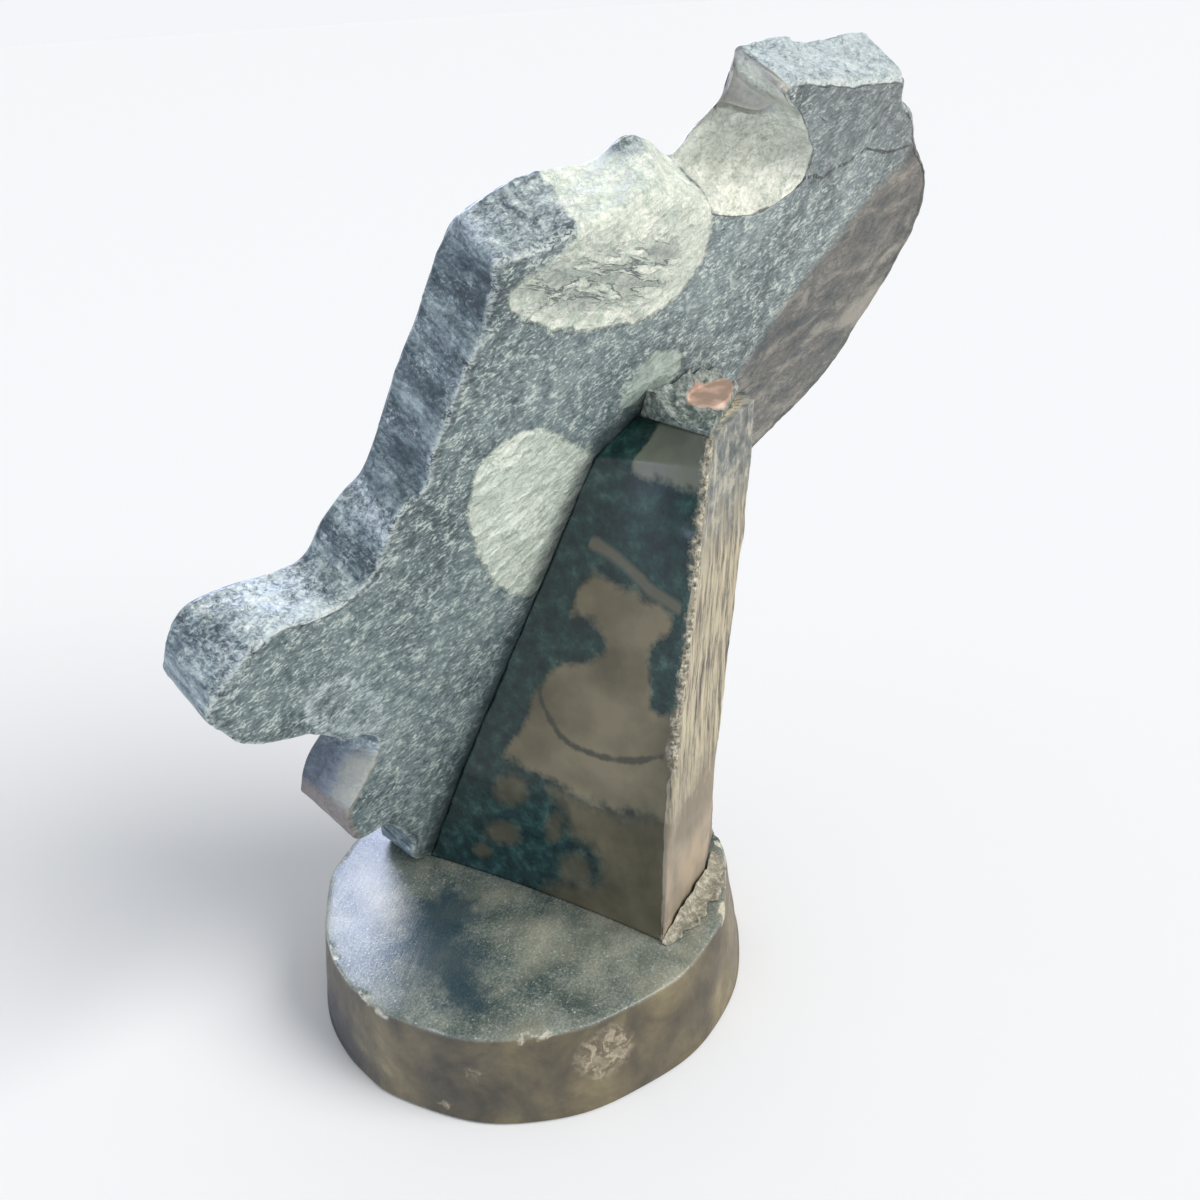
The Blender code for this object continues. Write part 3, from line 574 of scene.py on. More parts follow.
# Marks in the stone, as closed outlines of x and z. The saw cut through the big coil leaves a
# crescent on the back and the top edge, the wall of the notch holds the upper shell and a smooth
# scoop, the prop half hides the oval, and past one line the stone is banded brown.
CUT_SHELLS = {
    "crescent": ((10.5, 196.0), (5.0, 190.8), (0.0, 187.8), (-8.0, 184.6), (-17.0, 182.4), (-27.0, 181.4),
                 (-36.0, 181.6), (-42.5, 184.0), (-46.8, 188.5), (-49.0, 194.0), (-48.2, 199.5),
                 (-46.2, 204.0), (-46.4, 212.0), (-46.8, 226.0), (-28.0, 232.0), (-8.0, 228.0),
                 (-7.6, 212.0), (-4.4, 205.6), (1.0, 201.4), (7.0, 199.4)),
    "streaks": ((9.0, 199.0), (6.5, 195.5), (2.0, 192.0), (-6.0, 189.6), (-14.0, 188.0),
                (-24.0, 186.6), (-33.0, 187.0), (-38.5, 191.0), (-38.0, 197.0), (-32.0, 201.0),
                (-22.0, 200.2), (-14.0, 201.2), (-5.0, 200.4)),
    "smooth_band": ((11.5, 203.0), (4.0, 204.0), (-3.4, 206.4), (-7.8, 211.0), (-6.0, 206.6), (0.0, 202.2),
                    (6.4, 199.8), (11.0, 197.6), (14.0, 200.0)),
    "upper": ((-46.9, 214.0), (-47.4, 205.0), (-55.0, 200.6), (-66.0, 200.0), (-76.8, 203.2),
              (-80.0, 211.5), (-72.0, 222.0), (-62.0, 229.0), (-50.0, 238.0), (-46.6, 226.0)),
    "scoop": ((-50.0, 219.4), (-58.2, 219.6), (-67.0, 219.0), (-66.8, 223.0), (-60.6, 226.8),
              (-58.0, 240.0), (-48.0, 240.0)),
    "oval": ((10.8, 150.0), (9.0, 155.8), (4.4, 159.8), (-4.0, 160.6), (-11.0, 158.4), (-18.0, 153.0),
             (-25.0, 147.4), (-31.0, 141.0), (-37.0, 130.0), (-36.0, 114.0), (-28.0, 104.0),
             (-21.0, 101.0), (-13.0, 106.5), (-7.0, 111.2), (-2.0, 117.0), (2.4, 124.0), (6.4, 132.0),
             (9.4, 140.0)),
    "sliver": ((-33.5, 157.5), (-35.0, 163.0), (-37.0, 168.0), (-41.0, 170.6), (-46.0, 170.0),
               (-50.5, 168.2), (-52.5, 164.0), (-50.0, 158.0), (-44.0, 156.0), (-38.0, 155.6)),
    "ring": ((50.0, 104.0), (45.0, 108.5), (38.0, 106.5), (32.5, 100.0), (28.0, 92.0), (24.5, 84.0),
             (27.0, 79.5), (33.0, 81.5), (40.0, 88.0), (47.0, 95.0)),
    "brown": ((-128.0, 213.0), (-121.0, 203.5), (-112.0, 197.6), (-106.0, 190.6), (-101.0, 184.4),
              (-95.0, 178.0), (-89.0, 170.0), (-84.0, 161.6), (-79.0, 150.0), (-74.0, 120.0),
              (-60.0, 60.0), (-58.0, -20.0), (-170.0, -20.0), (-170.0, 213.0)),
    "slate": ((-80.0, 205.0), (-90.0, 206.0), (-101.0, 211.0), (-112.0, 208.0), (-128.0, 208.0),
              (-150.0, 200.0), (-150.0, 250.0), (-62.0, 250.0), (-67.0, 228.0), (-74.0, 221.0),
              (-80.5, 212.0)),
    "tan": ((-122.0, 158.0), (-123.0, 161.6), (-129.0, 164.6), (-140.0, 168.0), (-142.0, 161.0),
            (-134.0, 155.0), (-127.0, 155.6)),
}
# Shades of the stone: the sawn back, the edge faces and their pale bloom with painted highlight,
# the top corner, the brown bands, the lobe's ground end, the smooth scoop, the calcite in each cut
# shell with how far it covers the stone, and the stone and calcite of the show face
BACK_SHADES = ((0.48, "#3d4c4f"), (0.54, "#647477"), (0.60, "#7e8e90"), (0.70, "#9fada9"))
EDGE_SHADES = ((0.43, "#2d3c43"), (0.48, "#4a5a61"), (0.53, "#748487"), (0.61, "#b0bdbb"))
BLOOM_AND_HIGHLIGHT_SHADES = ((0.38, "#7d8d94"), (0.48, "#a9b7ba"), (0.58, "#cdd7d6"), (0.70, "#e3eae6"))
SLATE_SHADES = ((0.40, "#39444a"), (0.50, "#525e64"), (0.58, "#748086"), (0.66, "#a3adab"))
BROWN_SHADES = ((0.46, "#2d3839"), (0.52, "#484d4c"), (0.58, "#61615c"), (0.67, "#8a887e"))
LOBE_SHADES = ((0.10, "#a9aba0"), (0.30, "#989a94"), (0.50, "#68727e"), (0.66, "#454f5c"))
CALCITE_SHADES = (
    ("crescent", 1.0, ((0.36, "#a6b7ac"), (0.43, "#ccd8ca"), (0.51, "#e5ebdc"), (0.62, "#f8f9ed"))),
    ("oval", 0.97, ((0.36, "#a6b7ac"), (0.44, "#cedacc"), (0.52, "#e5ecde"), (0.64, "#f6f8ee"))),
    ("upper", 1.0, ((0.36, "#aeb0a3"), (0.44, "#d4d8c9"), (0.52, "#e9ecdf"), (0.64, "#f8faef"))),
    ("sliver", 0.85, ((0.36, "#9fb1a8"), (0.50, "#b6c6bb"), (0.66, "#c6d3c6"))))
SCOOP_SHADES = ((0.36, "#8b8b85"), (0.52, "#a2a19a"), (0.66, "#b8b7af"))
SHOW_BLACK_SHADES = ((0.30, "#15171a"), (0.52, "#23272a"), (0.70, "#3a3f40"))
SHOW_CALCITE_SHADES = ((0.30, "#5a544b"), (0.46, "#8f8677"), (0.58, "#c2b8a4"), (0.74, "#e6dfcd"))
# Where the prop meets the back; a band of painted shade is laid on the back round it
PROP_JOINT = ((-1.0, -6.0), (-1.0, 0.0), (-6.4, 38.8), (-14.2, 75.5), (-22.0, 112.2), (-28.6, 144.5),
              (-38.0, 153.0), (-66.0, 153.0), (-66.6, 144.5), (-62.6, 112.0), (-59.6, 75.5), (-58.6, 38.8),
              (-60.6, 0.0), (-60.6, -6.0))
CRACK = ((-76.4, 204.6), (-78.6, 207.0), (-82.0, 207.0), (-86.0, 205.8), (-90.0, 208.0), (-95.0, 208.2),
         (-101.0, 211.0), (-112.0, 208.6), (-125.0, 209.4))
# How pale the edge face is along the outline, from 0 to 1: outline row and share. Low values give
# pale bruised grains; the high ones, on the edges that face up, are painted highlight
EDGE_PALE_AND_HIGHLIGHT = ((0.0, 0.2), (11.0, 0.3), (14.5, 0.15), (15.4, 0.3), (17.2, 0.62), (18.3, 0.95), (19.0, 0.95),
             (19.7, 0.45), (20.6, 0.3), (21.7, 0.4), (22.1, 0.72), (22.8, 0.6), (23.0, 0.1), (24.7, 0.05),
             (25.1, 0.4), (25.4, 0.1), (26.1, 0.25), (27.2, 0.32), (27.6, 0.1), (28.2, 0.3), (29.2, 0.1),
             (29.8, 0.1), (30.1, 0.6), (32.6, 0.62), (43.4, 0.1), (44.1, 1.0), (47.8, 1.1), (48.4, 0.3),
             (51.0, 0.1), (68.9, 0.1))
# How roughly the edge face is hewn along the outline, in the same measures
EDGE_HEWN = ((0.0, 0.3), (10.0, 0.5), (14.0, 1.0), (47.0, 1.0), (50.0, 0.4), (69.0, 0.3))
# Depths of the stone's relief, millimetres: hollows and grain of the back, waves of the polish,
# chisel marks, layers and grain of the edge, and how far the edge lies under its outline
BACK_HOLLOW, BACK_GRAIN, SHOW_WAVE = 0.14, 0.09, 0.03
EDGE_CHISEL, EDGE_LAYER, EDGE_GRAIN, EDGE_SUNK = 0.6, 0.22, 0.10, 0.30
# A dark bruise low on the crescent's edge face: outline row, depth, and its half-sizes
BRUISE = (35.1, 15.5, 0.8, 5.5)


def outline_distance(x, z, corners, closed=True):
    """Distance in millimetres from each point to a smooth curve through the corners. Inside a
    closed curve it is positive, which a count of crossings along a level ray decides, and
    outside it is negative."""
    at = np.arange(0.0, len(corners) - (0.0 if closed else 1.0), 0.25)
    ring = closed_curve(corners, at) if closed else np.stack(
        [np.interp(at, np.arange(len(corners)), np.array(corners)[:, k]) for k in (0, 1)], axis=1)
    ends = np.roll(ring, -1, axis=0) if closed else ring[1:]
    nearest, inside = np.full(x.shape, 1e9), np.zeros(x.shape, bool)
    for (ax, az), (bx, bz) in zip(ring, ends):
        dx, dz = bx - ax, bz - az
        t = np.clip(((x - ax) * dx + (z - az) * dz) / max(dx * dx + dz * dz, 1e-9), 0.0, 1.0)
        nearest = np.minimum(nearest, np.hypot(x - ax - t * dx, z - az - t * dz))
        if closed and dz != 0.0:
            inside ^= ((az > z) != (bz > z)) & (x < ax + (z - az) * dx / dz)
    return np.where(inside, nearest, -nearest)


def plate_push(rows, number, row_place, tall):
    """How far the stone's relief moves each point out: shallow hollows on the back, hewn layers on
    the edge, the shells on the show face, and nothing at the foot. Only hollows go below zero."""
    on_back, on_show = number < PLATE_BACK_ROWS, number >= len(rows) - PLATE_SHOW_ROWS - 1
    stands = np.exp(-np.clip(rows[..., 2] - 2.0, 0, None) / 3.0)
    chisel = unevenness(rows * np.array([1.0, 0.35, 1.0]), 5.0, 33, 3)
    layers = unevenness(rows * np.array([1.0, 0.12, 1.0]), 2.2, 34, 2)
    soft, fine = unevenness(rows, 13.0, 31, 3), unevenness(rows, 3.4, 32, 2)
    back = BACK_HOLLOW * soft + BACK_GRAIN * fine - 0.05
    edge = (EDGE_CHISEL * np.minimum(chisel, 0.25) + EDGE_LAYER * layers + EDGE_GRAIN * fine
            - EDGE_SUNK)
    edge = np.interp(row_place, *np.array(EDGE_HEWN).T) * np.minimum(edge, 0.0)
    inner = np.clip((number - (len(rows) - PLATE_SHOW_ROWS - 3)) / 4.0, 0.0, 1.0)
    return np.where(on_show, SHOW_WAVE * soft + tall * inner,
                    np.where(on_back, back, edge) * (1.0 - stands))


def plate_marks(rows, number, row_place):
    """The plate's pattern attributes: signed distances to the outlines of its marks, and what
    follows its edge and its back's rim."""
    x, depth, z = rows[..., 0], -rows[..., 1], rows[..., 2]
    on_show = number >= len(rows) - PLATE_SHOW_ROWS - 1
    marks = {name: outline_distance(x, z, corners) for name, corners in CUT_SHELLS.items()}
    marks["crack"] = np.where(on_show, 9.0, -outline_distance(x, z, CRACK, closed=False))
    # Distance to the prop's joint, for the painted shade round the prop
    marks["painted_prop_shade"] = -outline_distance(x, z, PROP_JOINT)
    back_rim = np.column_stack([outline[:, 0], np.zeros(len(outline)), outline[:, 1]])
    marks["rim"] = np.linalg.norm(rows - back_rim, axis=-1)
    marks["bruise"] = 1.0 - np.hypot((row_place - BRUISE[0]) / BRUISE[2], (depth - BRUISE[1]) / BRUISE[3])
    # Pale bruised grains, and painted highlight where the edge faces up
    marks["pale"] = np.interp(row_place, *np.array(EDGE_PALE_AND_HIGHLIGHT).T)
    marks["edge"] = ((number >= PLATE_BACK_ROWS) & ~on_show).astype(float)
    middle = 0.5 * (outline[:, :2] + outline[:, 2:])
    arc = np.cumsum(np.linalg.norm(middle - np.roll(middle, 1, axis=0), axis=1))
    marks["strip"] = np.stack([np.broadcast_to(arc, x.shape), depth, row_place], axis=-1)
    return marks


def carved_plate():
    """The plate's points and faces, with stone relief pushed along the normals, and its pattern
    attributes. The innermost loops are zipped: both sides share the spine's points."""
    rows = plate_rows()
    count, around = rows.shape[:2]
    normal = surface_normals(rows)
    normal[0], normal[-1] = (0, 1, 0), (0, -1, 0)
    number = np.broadcast_to(np.arange(count)[:, None], (count, around))
    row_place = np.broadcast_to(at % len(PLATE_OUTLINE), (count, around))
    marks = plate_marks(rows, number, row_place)
    tall, marks["shell"], marks["coil"] = relief(rows[..., 0], rows[..., 2])
    rows = rows + normal * plate_push(rows, number, row_place, tall)[..., None]
    mirror = np.minimum(np.arange(around), around - np.arange(around))
    index = np.arange(count * around).reshape(count, around)
    index[0], index[-1] = index[0, mirror], index[-1, mirror]
    used, packed = np.unique(loop_faces(index), return_inverse=True)
    faces = [list(dict.fromkeys(face)) for face in packed.reshape(-1, 4).tolist()]
    faces = [face for face in faces if len(face) > 2]
    marks = {name: values.reshape(count * around, -1)[used].squeeze() for name, values in marks.items()}
    return rows.reshape(-1, 3)[used], faces, marks


def plate_to_world(points):
    """Plate millimetres to world millimetres: leaned back about the corner that stands."""
    lean = math.radians(PLATE_LEAN)
    x, y, z = points.T
    high = -y * math.sin(lean) + z * math.cos(lean) + BASE_HEIGHT
    return np.column_stack([x + PLATE_CORNER[0],
                            y * math.cos(lean) + z * math.sin(lean) + PLATE_CORNER[1],
                            np.minimum(high, PLATE_TOP)])


def mark_cover(put, name, ragged, blur, most=1.0):
    """How far a mark covers the stone: its distance attribute, roughened by ragged, eased from
    nothing to most over a width of twice the blur in millimetres."""
    inside = put("Math:ADD", put("Attribute", attribute_name=name, out="Fac"), ragged)
    return put("MapRange", inside, -blur, blur, 0.0, most)


def thin_lines(put, pattern, level, outer, inner, most=1.0):
    """Lines where a pattern passes a level: most within inner of it, easing to none at outer."""
    off = put("Math:ABSOLUTE", put("Math:SUBTRACT", pattern, level))
    return put("MapRange", off, outer, inner, 0.0, most)


def plate_skin(put):
    """The patterns that the plate's colours share, in its own millimetres: x across, y through its
    thickness and z up the slope, and for the edge faces the length along the outline."""
    place = put("Mapping", put("TexCoord", out="Object"),
                (PLATE_CORNER[0] * MM, PLATE_CORNER[1] * MM, BASE_HEIGHT * MM),
                (math.radians(-PLATE_LEAN), 0.0, 0.0), (MM, MM, MM), vector_type="TEXTURE")
    # Saw flecks 1.5 mm long and 0.7 mm wide, blotches 4 mm and clouds 30 mm across
    flecks = stretched(put, place, (1.5, 1.0, 0.7), (0.0, 20.0, 0.0))
    flecks = put("TexNoise", flecks, Scale=1.0, Detail=4.0, Roughness=0.75, Distortion=0.8)
    blotch = put("TexNoise", place, Scale=1 / 4.0, Detail=5.0, Roughness=0.65)
    # Hair cracks through the calcite 4.5 mm apart, and its chipped facets of 7 by 4 by 3.4 mm
    crazed = put("TexNoise", place, Scale=1 / 4.5, Detail=6.0, Roughness=0.7, Distortion=1.6)
    bend = put("TexNoise", place, Scale=1 / 3.0, Detail=3.0, out="Color")
    bent = put("VectorMath:MULTIPLY_ADD", bend, (3.0, 3.0, 3.0), place)
    facets = put("TexVoronoi", stretched(put, bent, (7.0, 4.0, 3.4), (0.0, 35.0, 0.0)),
                 Scale=1.0, Detail=1.0, Roughness=0.5).node.outputs
    edge = put("Attribute", attribute_name="edge", out="Fac")
    return SimpleNamespace(
        place=place, blotch=blotch, edge=edge, not_edge=put("Math:SUBTRACT", 1.0, edge),
        strip=put("Attribute", attribute_name="strip", out="Vector"),
        clouds=put("TexNoise", place, Scale=1 / 30, Detail=5.0, Roughness=0.6, Distortion=0.4),
        grain=put("Math:MULTIPLY_ADD", flecks, 0.62, put("Math:MULTIPLY", blotch, 0.38)),
        fray=put("Math:MULTIPLY", put("Math:SUBTRACT", blotch, 0.5), 5.0),
        hair=thin_lines(put, crazed, 0.5, 0.022, 0.006), facet=facets["Distance"],
        facet_tone=put("SeparateColor", facets["Color"]))


def back_stone(put, skin):
    """The sawn back: grey-green mottle under pale saw flecks, brightened into painted glints."""
    mottle = put("Math:MULTIPLY_ADD", skin.clouds, 0.30, put("Math:MULTIPLY", skin.grain, 0.85))
    stone = set_ramp(put("ValToRGB", mottle), BACK_SHADES)
    # Pale flecks of the sawn stone, brightened as painted glints
    return lay_over(put, stone, "#ced9d0", put("MapRange", skin.grain, 0.53, 0.57, 0.0, 0.75))


def edge_stone(put, skin, bloom_and_highlight):
    """The edge faces: broken layers 2 mm apart along the outline and 6 mm deep, dark and light in
    bands 10 mm wide, and pale bruised grains that widen into a painted highlight where the edge
    faces up."""
    layered = put("TexNoise", stretched(put, skin.strip, (2.0, 6.0, 1000.0)),
                  Scale=1.0, Detail=6.0, Roughness=0.7, Distortion=0.7)
    wide = put("TexNoise", stretched(put, skin.strip, (10.0, 40.0, 1000.0)),
               Scale=1.0, Detail=3.0, Roughness=0.6)
    layered = put("Math:MULTIPLY_ADD", layered, 0.35, put("Math:MULTIPLY", skin.grain, 0.35))
    stone = set_ramp(put("ValToRGB", put("Math:MULTIPLY_ADD", wide, 0.30, layered)), EDGE_SHADES)
    # Pale bruised grains, spread into a painted highlight on the edges that face up
    pale = put("Math:MULTIPLY_ADD", skin.grain, 2.6, put("Attribute", attribute_name="pale", out="Fac"))
    return lay_over(put, stone, bloom_and_highlight, put("MapRange", pale, 1.66, 2.26))


def matrix_colour(put, skin, colour, bloom_and_highlight):
    """The stone round the shells: slate blue above the crack, pale bruised grains where the saw
    broke out over the 2 mm beside the back's rim, brown bands on the broad side, a faint ring."""
    fray, grain = skin.fray, skin.grain
    slate = set_ramp(put("ValToRGB", grain), SLATE_SHADES)
    colour = lay_over(put, colour, slate, put(
        "Math:MULTIPLY", mark_cover(put, "slate", 0.0, 5.0, 0.62), skin.not_edge))
    worn = put("Math:MULTIPLY_ADD", fray, 0.9, put("Attribute", attribute_name="rim", out="Fac"))
    worn = put("MapRange", worn, 1.7, 0.5, 0.0, 0.85)
    colour = lay_over(put, colour, "#cdd6d1", put(
        "Math:MULTIPLY", worn, put("MapRange", grain, 0.43, 0.52)))
    # Brown bands 7 mm thick and 15 mm long that rise a little towards the broad side
    bands = put("TexNoise", stretched(put, skin.place, (15.0, 12.0, 7.0), (0.0, 14.0, 0.0)),
                Scale=1.0, Detail=6.0, Roughness=0.65, Distortion=0.8)
    banded = put("Math:MULTIPLY_ADD", grain, 0.48, put("Math:MULTIPLY", bands, 0.64))
    banded = set_ramp(put("ValToRGB", banded), BROWN_SHADES)
    colour = lay_over(put, colour, banded, mark_cover(put, "brown", fray, 2.5, 0.95))
    colour = lay_over(put, colour, "#98958a", mark_cover(put, "tan", fray, 1.5, 0.8))
    hollow = put("MapRange", put("Attribute", attribute_name="ring", out="Fac"), 1.8, 3.6, 1.0, 0.25)
    ring = put("Math:MULTIPLY", mark_cover(put, "ring", fray, 0.8, 0.7), hollow)
    return lay_over(put, colour, bloom_and_highlight, put("Math:MULTIPLY", ring, put("MapRange", grain, 0.40, 0.52)))


def cut_shells(put, skin, colour):
    """The pale crazed calcite of the cut shells over the stone, and where it lies."""
    tone = put("MapRange", skin.facet_tone, 0.45, 1.0, 0.0, 0.30)
    shells = skin.edge
    for name, cover, stops in CALCITE_SHADES:
        calcite = lay_over(put, set_ramp(put("ValToRGB", skin.grain), stops), "#8a988f", tone)
        calcite = lay_over(put, calcite, "#687b74", put("Math:MULTIPLY", skin.hair, 0.45))
        if name == "upper":
            cover = put("Math:MULTIPLY", skin.edge, cover)
        shell = put("Math:MULTIPLY", mark_cover(put, name, skin.fray, 0.6), cover)
        shells = put("Math:MAXIMUM", shells, shell)
        colour = lay_over(put, colour, calcite, shell)
    return colour, shells


def crescent_cracks(put, skin):
    """Dark broken cracks in the crescent, 12 mm long and 2.6 mm apart, and the stone between."""
    broken = put("TexNoise", stretched(put, skin.place, (12.0, 7.0, 2.6), (0.0, -16.0, 0.0)),
                 Scale=1.0, Detail=4.0, Roughness=0.6, Distortion=0.5)
    cracks = put("Math:MULTIPLY", thin_lines(put, broken, 0.5, 0.048, 0.012),
                 put("MapRange", skin.blotch, 0.38, 0.48))
    cracks = put("Math:MAXIMUM", cracks, put("MapRange", broken, 0.62, 0.40, 0.0, 0.60))
    cracks = put("Math:MULTIPLY", cracks, mark_cover(put, "streaks", skin.fray, 2.5, 0.9))
    return put("Math:MULTIPLY", cracks, skin.not_edge)


def small_lobe(put, skin, colour):
    """The ground end of the small lobe: cream by the back, slate blue below, pinkish at its foot.
    It lies between two rows of the outline."""
    _, deep, row = put("SeparateXYZ", skin.strip).node.outputs
    deep = put("MapRange", put("Math:MULTIPLY_ADD", skin.fray, 2.0, deep), 0.0, PLATE_THICKNESS)
    lobe = lay_over(put, set_ramp(put("ValToRGB", deep), LOBE_SHADES), "#7b706b",
                    put("MapRange", row, 6.4, 5.8))
    held = put("Math:MULTIPLY", put("MapRange", row, 3.9, 4.3), put("MapRange", row, 8.6, 8.1))
    return lay_over(put, colour, lobe, put("Math:MULTIPLY", put("Math:MULTIPLY", held, skin.edge), 0.85))


def sawn_colour(put, skin):
    """The back and the edges, and the height of their skin. The stone comes first, then the cut
    shells, what breaks them up, the small lobe, and over all the crack and the painted shade
    round the prop."""
    fray, grain = skin.fray, skin.grain
    bloom_and_highlight = set_ramp(put("ValToRGB", grain), BLOOM_AND_HIGHLIGHT_SHADES)
    back, edge = back_stone(put, skin), edge_stone(put, skin, bloom_and_highlight)
    colour = matrix_colour(put, skin, lay_over(put, back, edge, skin.edge), bloom_and_highlight)
    colour, shells = cut_shells(put, skin, colour)
    cracks = crescent_cracks(put, skin)
    colour = lay_over(put, colour, "#4f6163", cracks)
    colour = lay_over(put, colour, back, put(
        "Math:MULTIPLY", mark_cover(put, "smooth_band", fray, 1.6, 0.8), skin.not_edge))
    bruise = put("MapRange", put("Attribute", attribute_name="bruise", out="Fac"), -0.05, 0.25, 0.0, 0.9)
    colour = lay_over(put, colour, edge, put("Math:MULTIPLY", skin.edge, bruise))
    ground = set_ramp(put("ValToRGB", skin.blotch), SCOOP_SHADES)
    colour = lay_over(put, colour, ground, put(
        "Math:MULTIPLY", skin.edge, mark_cover(put, "scoop", fray, 1.2)))
    colour = small_lobe(put, skin, colour)
    # The second row is painted shade on the back round the prop, darkest at the joint and fading over 8 mm
    for name, ragged, start, full, most, ease, shade in (
            ("crack", 0.25, 0.55, 0.2, 1.0, "LINEAR", "#2b3437"),
            ("painted_prop_shade", 0.8, 8.0, 0.0, 0.85, "SMOOTHSTEP", "#1d2f33")):
        away = put("Attribute", attribute_name=name, out="Fac")
        away = put("Math:ADD", away, put("Math:MULTIPLY", fray, ragged))
        cover = put("MapRange", away, start, full, 0.0, most, interpolation_type=ease)
        cover = put("Math:MULTIPLY", cover, skin.not_edge)
        colour = lay_over(put, colour, shade, cover)
        if name == "crack":
            cracks = put("Math:MAXIMUM", cracks, cover)
    facets = put("Math:MULTIPLY", put("Math:MULTIPLY", skin.facet, shells), 1.6)
    height = put("Math:MULTIPLY_ADD", grain, 0.9, facets)
    return colour, put("Math:MULTIPLY_ADD", cracks, -0.5, height)


def plate_limestone():
    """Grey-green limestone with pale cut shells. Sawn and ground skin: short pale flecks along
    the saw's stroke, partly painted glints, semi-matt. Show face: black polish with calcite shells and
    dark septa."""
    made, put, shader = new_material("sawn_and_polished_fossil_limestone")
    skin = plate_skin(put)
    sawn, height = sawn_colour(put, skin)
    show = put("MapRange", put("SeparateXYZ", skin.place, out="Y"),
               -PLATE_THICKNESS + 0.15, -PLATE_THICKNESS + 0.02)
    colour = lay_over(put, sawn, show_face_colour(put, skin), show)
    rough = put("MapRange", show, 0.0, 1.0, 0.46, 0.17)
    bumpy = put("MapRange", put("Attribute", attribute_name="scoop", out="Fac"), 0.5, -0.5)
    bumpy = put("Math:MULTIPLY", bumpy, put("Math:SUBTRACT", 1.0, show))
    finish_surface(put, shader, colour, rough, put("Math:MULTIPLY", height, bumpy), 0.9, 0.8, 1.55)
    return made


def show_face_colour(put, skin):
    """Black limestone with the shells' calcite: cream and smoky chambers between dark, bowed
    septa, and a dark siphuncle line down the middle of each straight shell."""
    matrix = set_ramp(put("ValToRGB", skin.clouds), SHOW_BLACK_SHADES)
    shell = put("Attribute", attribute_name="shell", out="Vector")
    count, across, inside = put("SeparateXYZ", shell).node.outputs
    bowed = put("Math:MULTIPLY_ADD", put("Math:MULTIPLY", across, across), -0.45, count)
    septum = thin_lines(put, put("Math:FLOORED_MODULO", bowed, 1.0), 0.5, 0.40, 0.47)
    tube = put("MapRange", put("Math:ABSOLUTE", across), 0.13, 0.08)
    straight = put("Math:SUBTRACT", 1.0, put("Attribute", attribute_name="coil", out="Fac"))
    lines = put("Math:MAXIMUM", septum, put("Math:MULTIPLY", tube, straight))
    fill = put("TexNoise", skin.place, Scale=1 / 7.0, Detail=6.0, Roughness=0.6, Distortion=1.0)
    calcite = set_ramp(put("ValToRGB", fill), SHOW_CALCITE_SHADES)
    calcite = lay_over(put, calcite, "#2b2724", lines)
    return lay_over(put, matrix, calcite, put("MapRange", inside, 0.0, 0.05))


points, faces, marks = carved_plate()
plate = make_piece("fossil_plate_stone", plate_to_world(points), faces, plate_limestone(), marks)
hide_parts("fossil_plate")


# Prop
# A tapered block of brown fossil limestone that the plate leans on. One side is polished, the
# others are sawn, and the ridge between them is chipped. It is glued to the base and the plate.
PROP_GAP = 0.3
# Level cuts: height above the base, then x and y of the outer ridge, of the ground bevel and of
# the far corner, and the x of the two corners that meet the plate
PROP_CUTS = (
    (0.0, (-7.2, 48.6), (-35.0, 39.8), (-53.0, 28.6), 12.6, -47.0),
    (36.0, (-11.6, 48.2), (-41.6, 39.4), (-49.4, 31.5), 7.2, -45.0),
    (70.0, (-15.6, 49.4), (-46.0, 40.2), (-51.4, 34.0), -0.6, -46.0),
    (104.0, (-19.6, 51.6), (-51.0, 41.6), (-55.0, 36.0), -8.4, -49.0),
    (134.0, (-23.2, 52.8), (-53.6, 42.6), (-57.4, 36.5), -15.0, -53.0),
    (141.0, (-24.8, 52.4), (-54.0, 42.4), (-57.0, 36.8), -26.5, -55.0),
)
PROP_LEVELS = 200
PROP_SIDE_STEPS = (92, 46, 20, 32, 24)
PROP_CROWN = (1.6, 0.56, 0.24, 0.48, 0.0)
PROP_CORNER_WEAR = (0.5, 1.2, 1.0, 1.0, 0.5)
PROP_CORNER_STEPS = 6
# Shades of the polished side and of the shells cut through it, with each shell's blur and cover,
# and of the saw marks and the crumbs beside the ridge
PROP_DEEP_SHADES = ((0.38, "#0b2223"), (0.52, "#193734"), (0.62, "#2d4b46"), (0.76, "#51665c"))
PROP_SHELL_SHADES = (
    ("low_stone", ((0.34, "#48422f"), (0.50, "#57503b"), (0.66, "#665e48")), 3.5, 0.92),
    ("top_stone", ((0.34, "#676a5e"), (0.52, "#77796b"), (0.66, "#868576")), 1.4, 0.9),
    ("tan_stone", ((0.34, "#5c5542"), (0.50, "#6f6750"), (0.64, "#7e745c")), 1.6, 0.95))
PROP_CREAM_SHADES = ((0.36, "#4c4b45"), (0.43, "#7f796a"), (0.50, "#9c947e"), (0.66, "#b9b199"))
PROP_CRUMB_SHADES = ((0.38, "#454842"), (0.48, "#85806f"), (0.57, "#b4ad98"), (0.68, "#e2ddcc"))
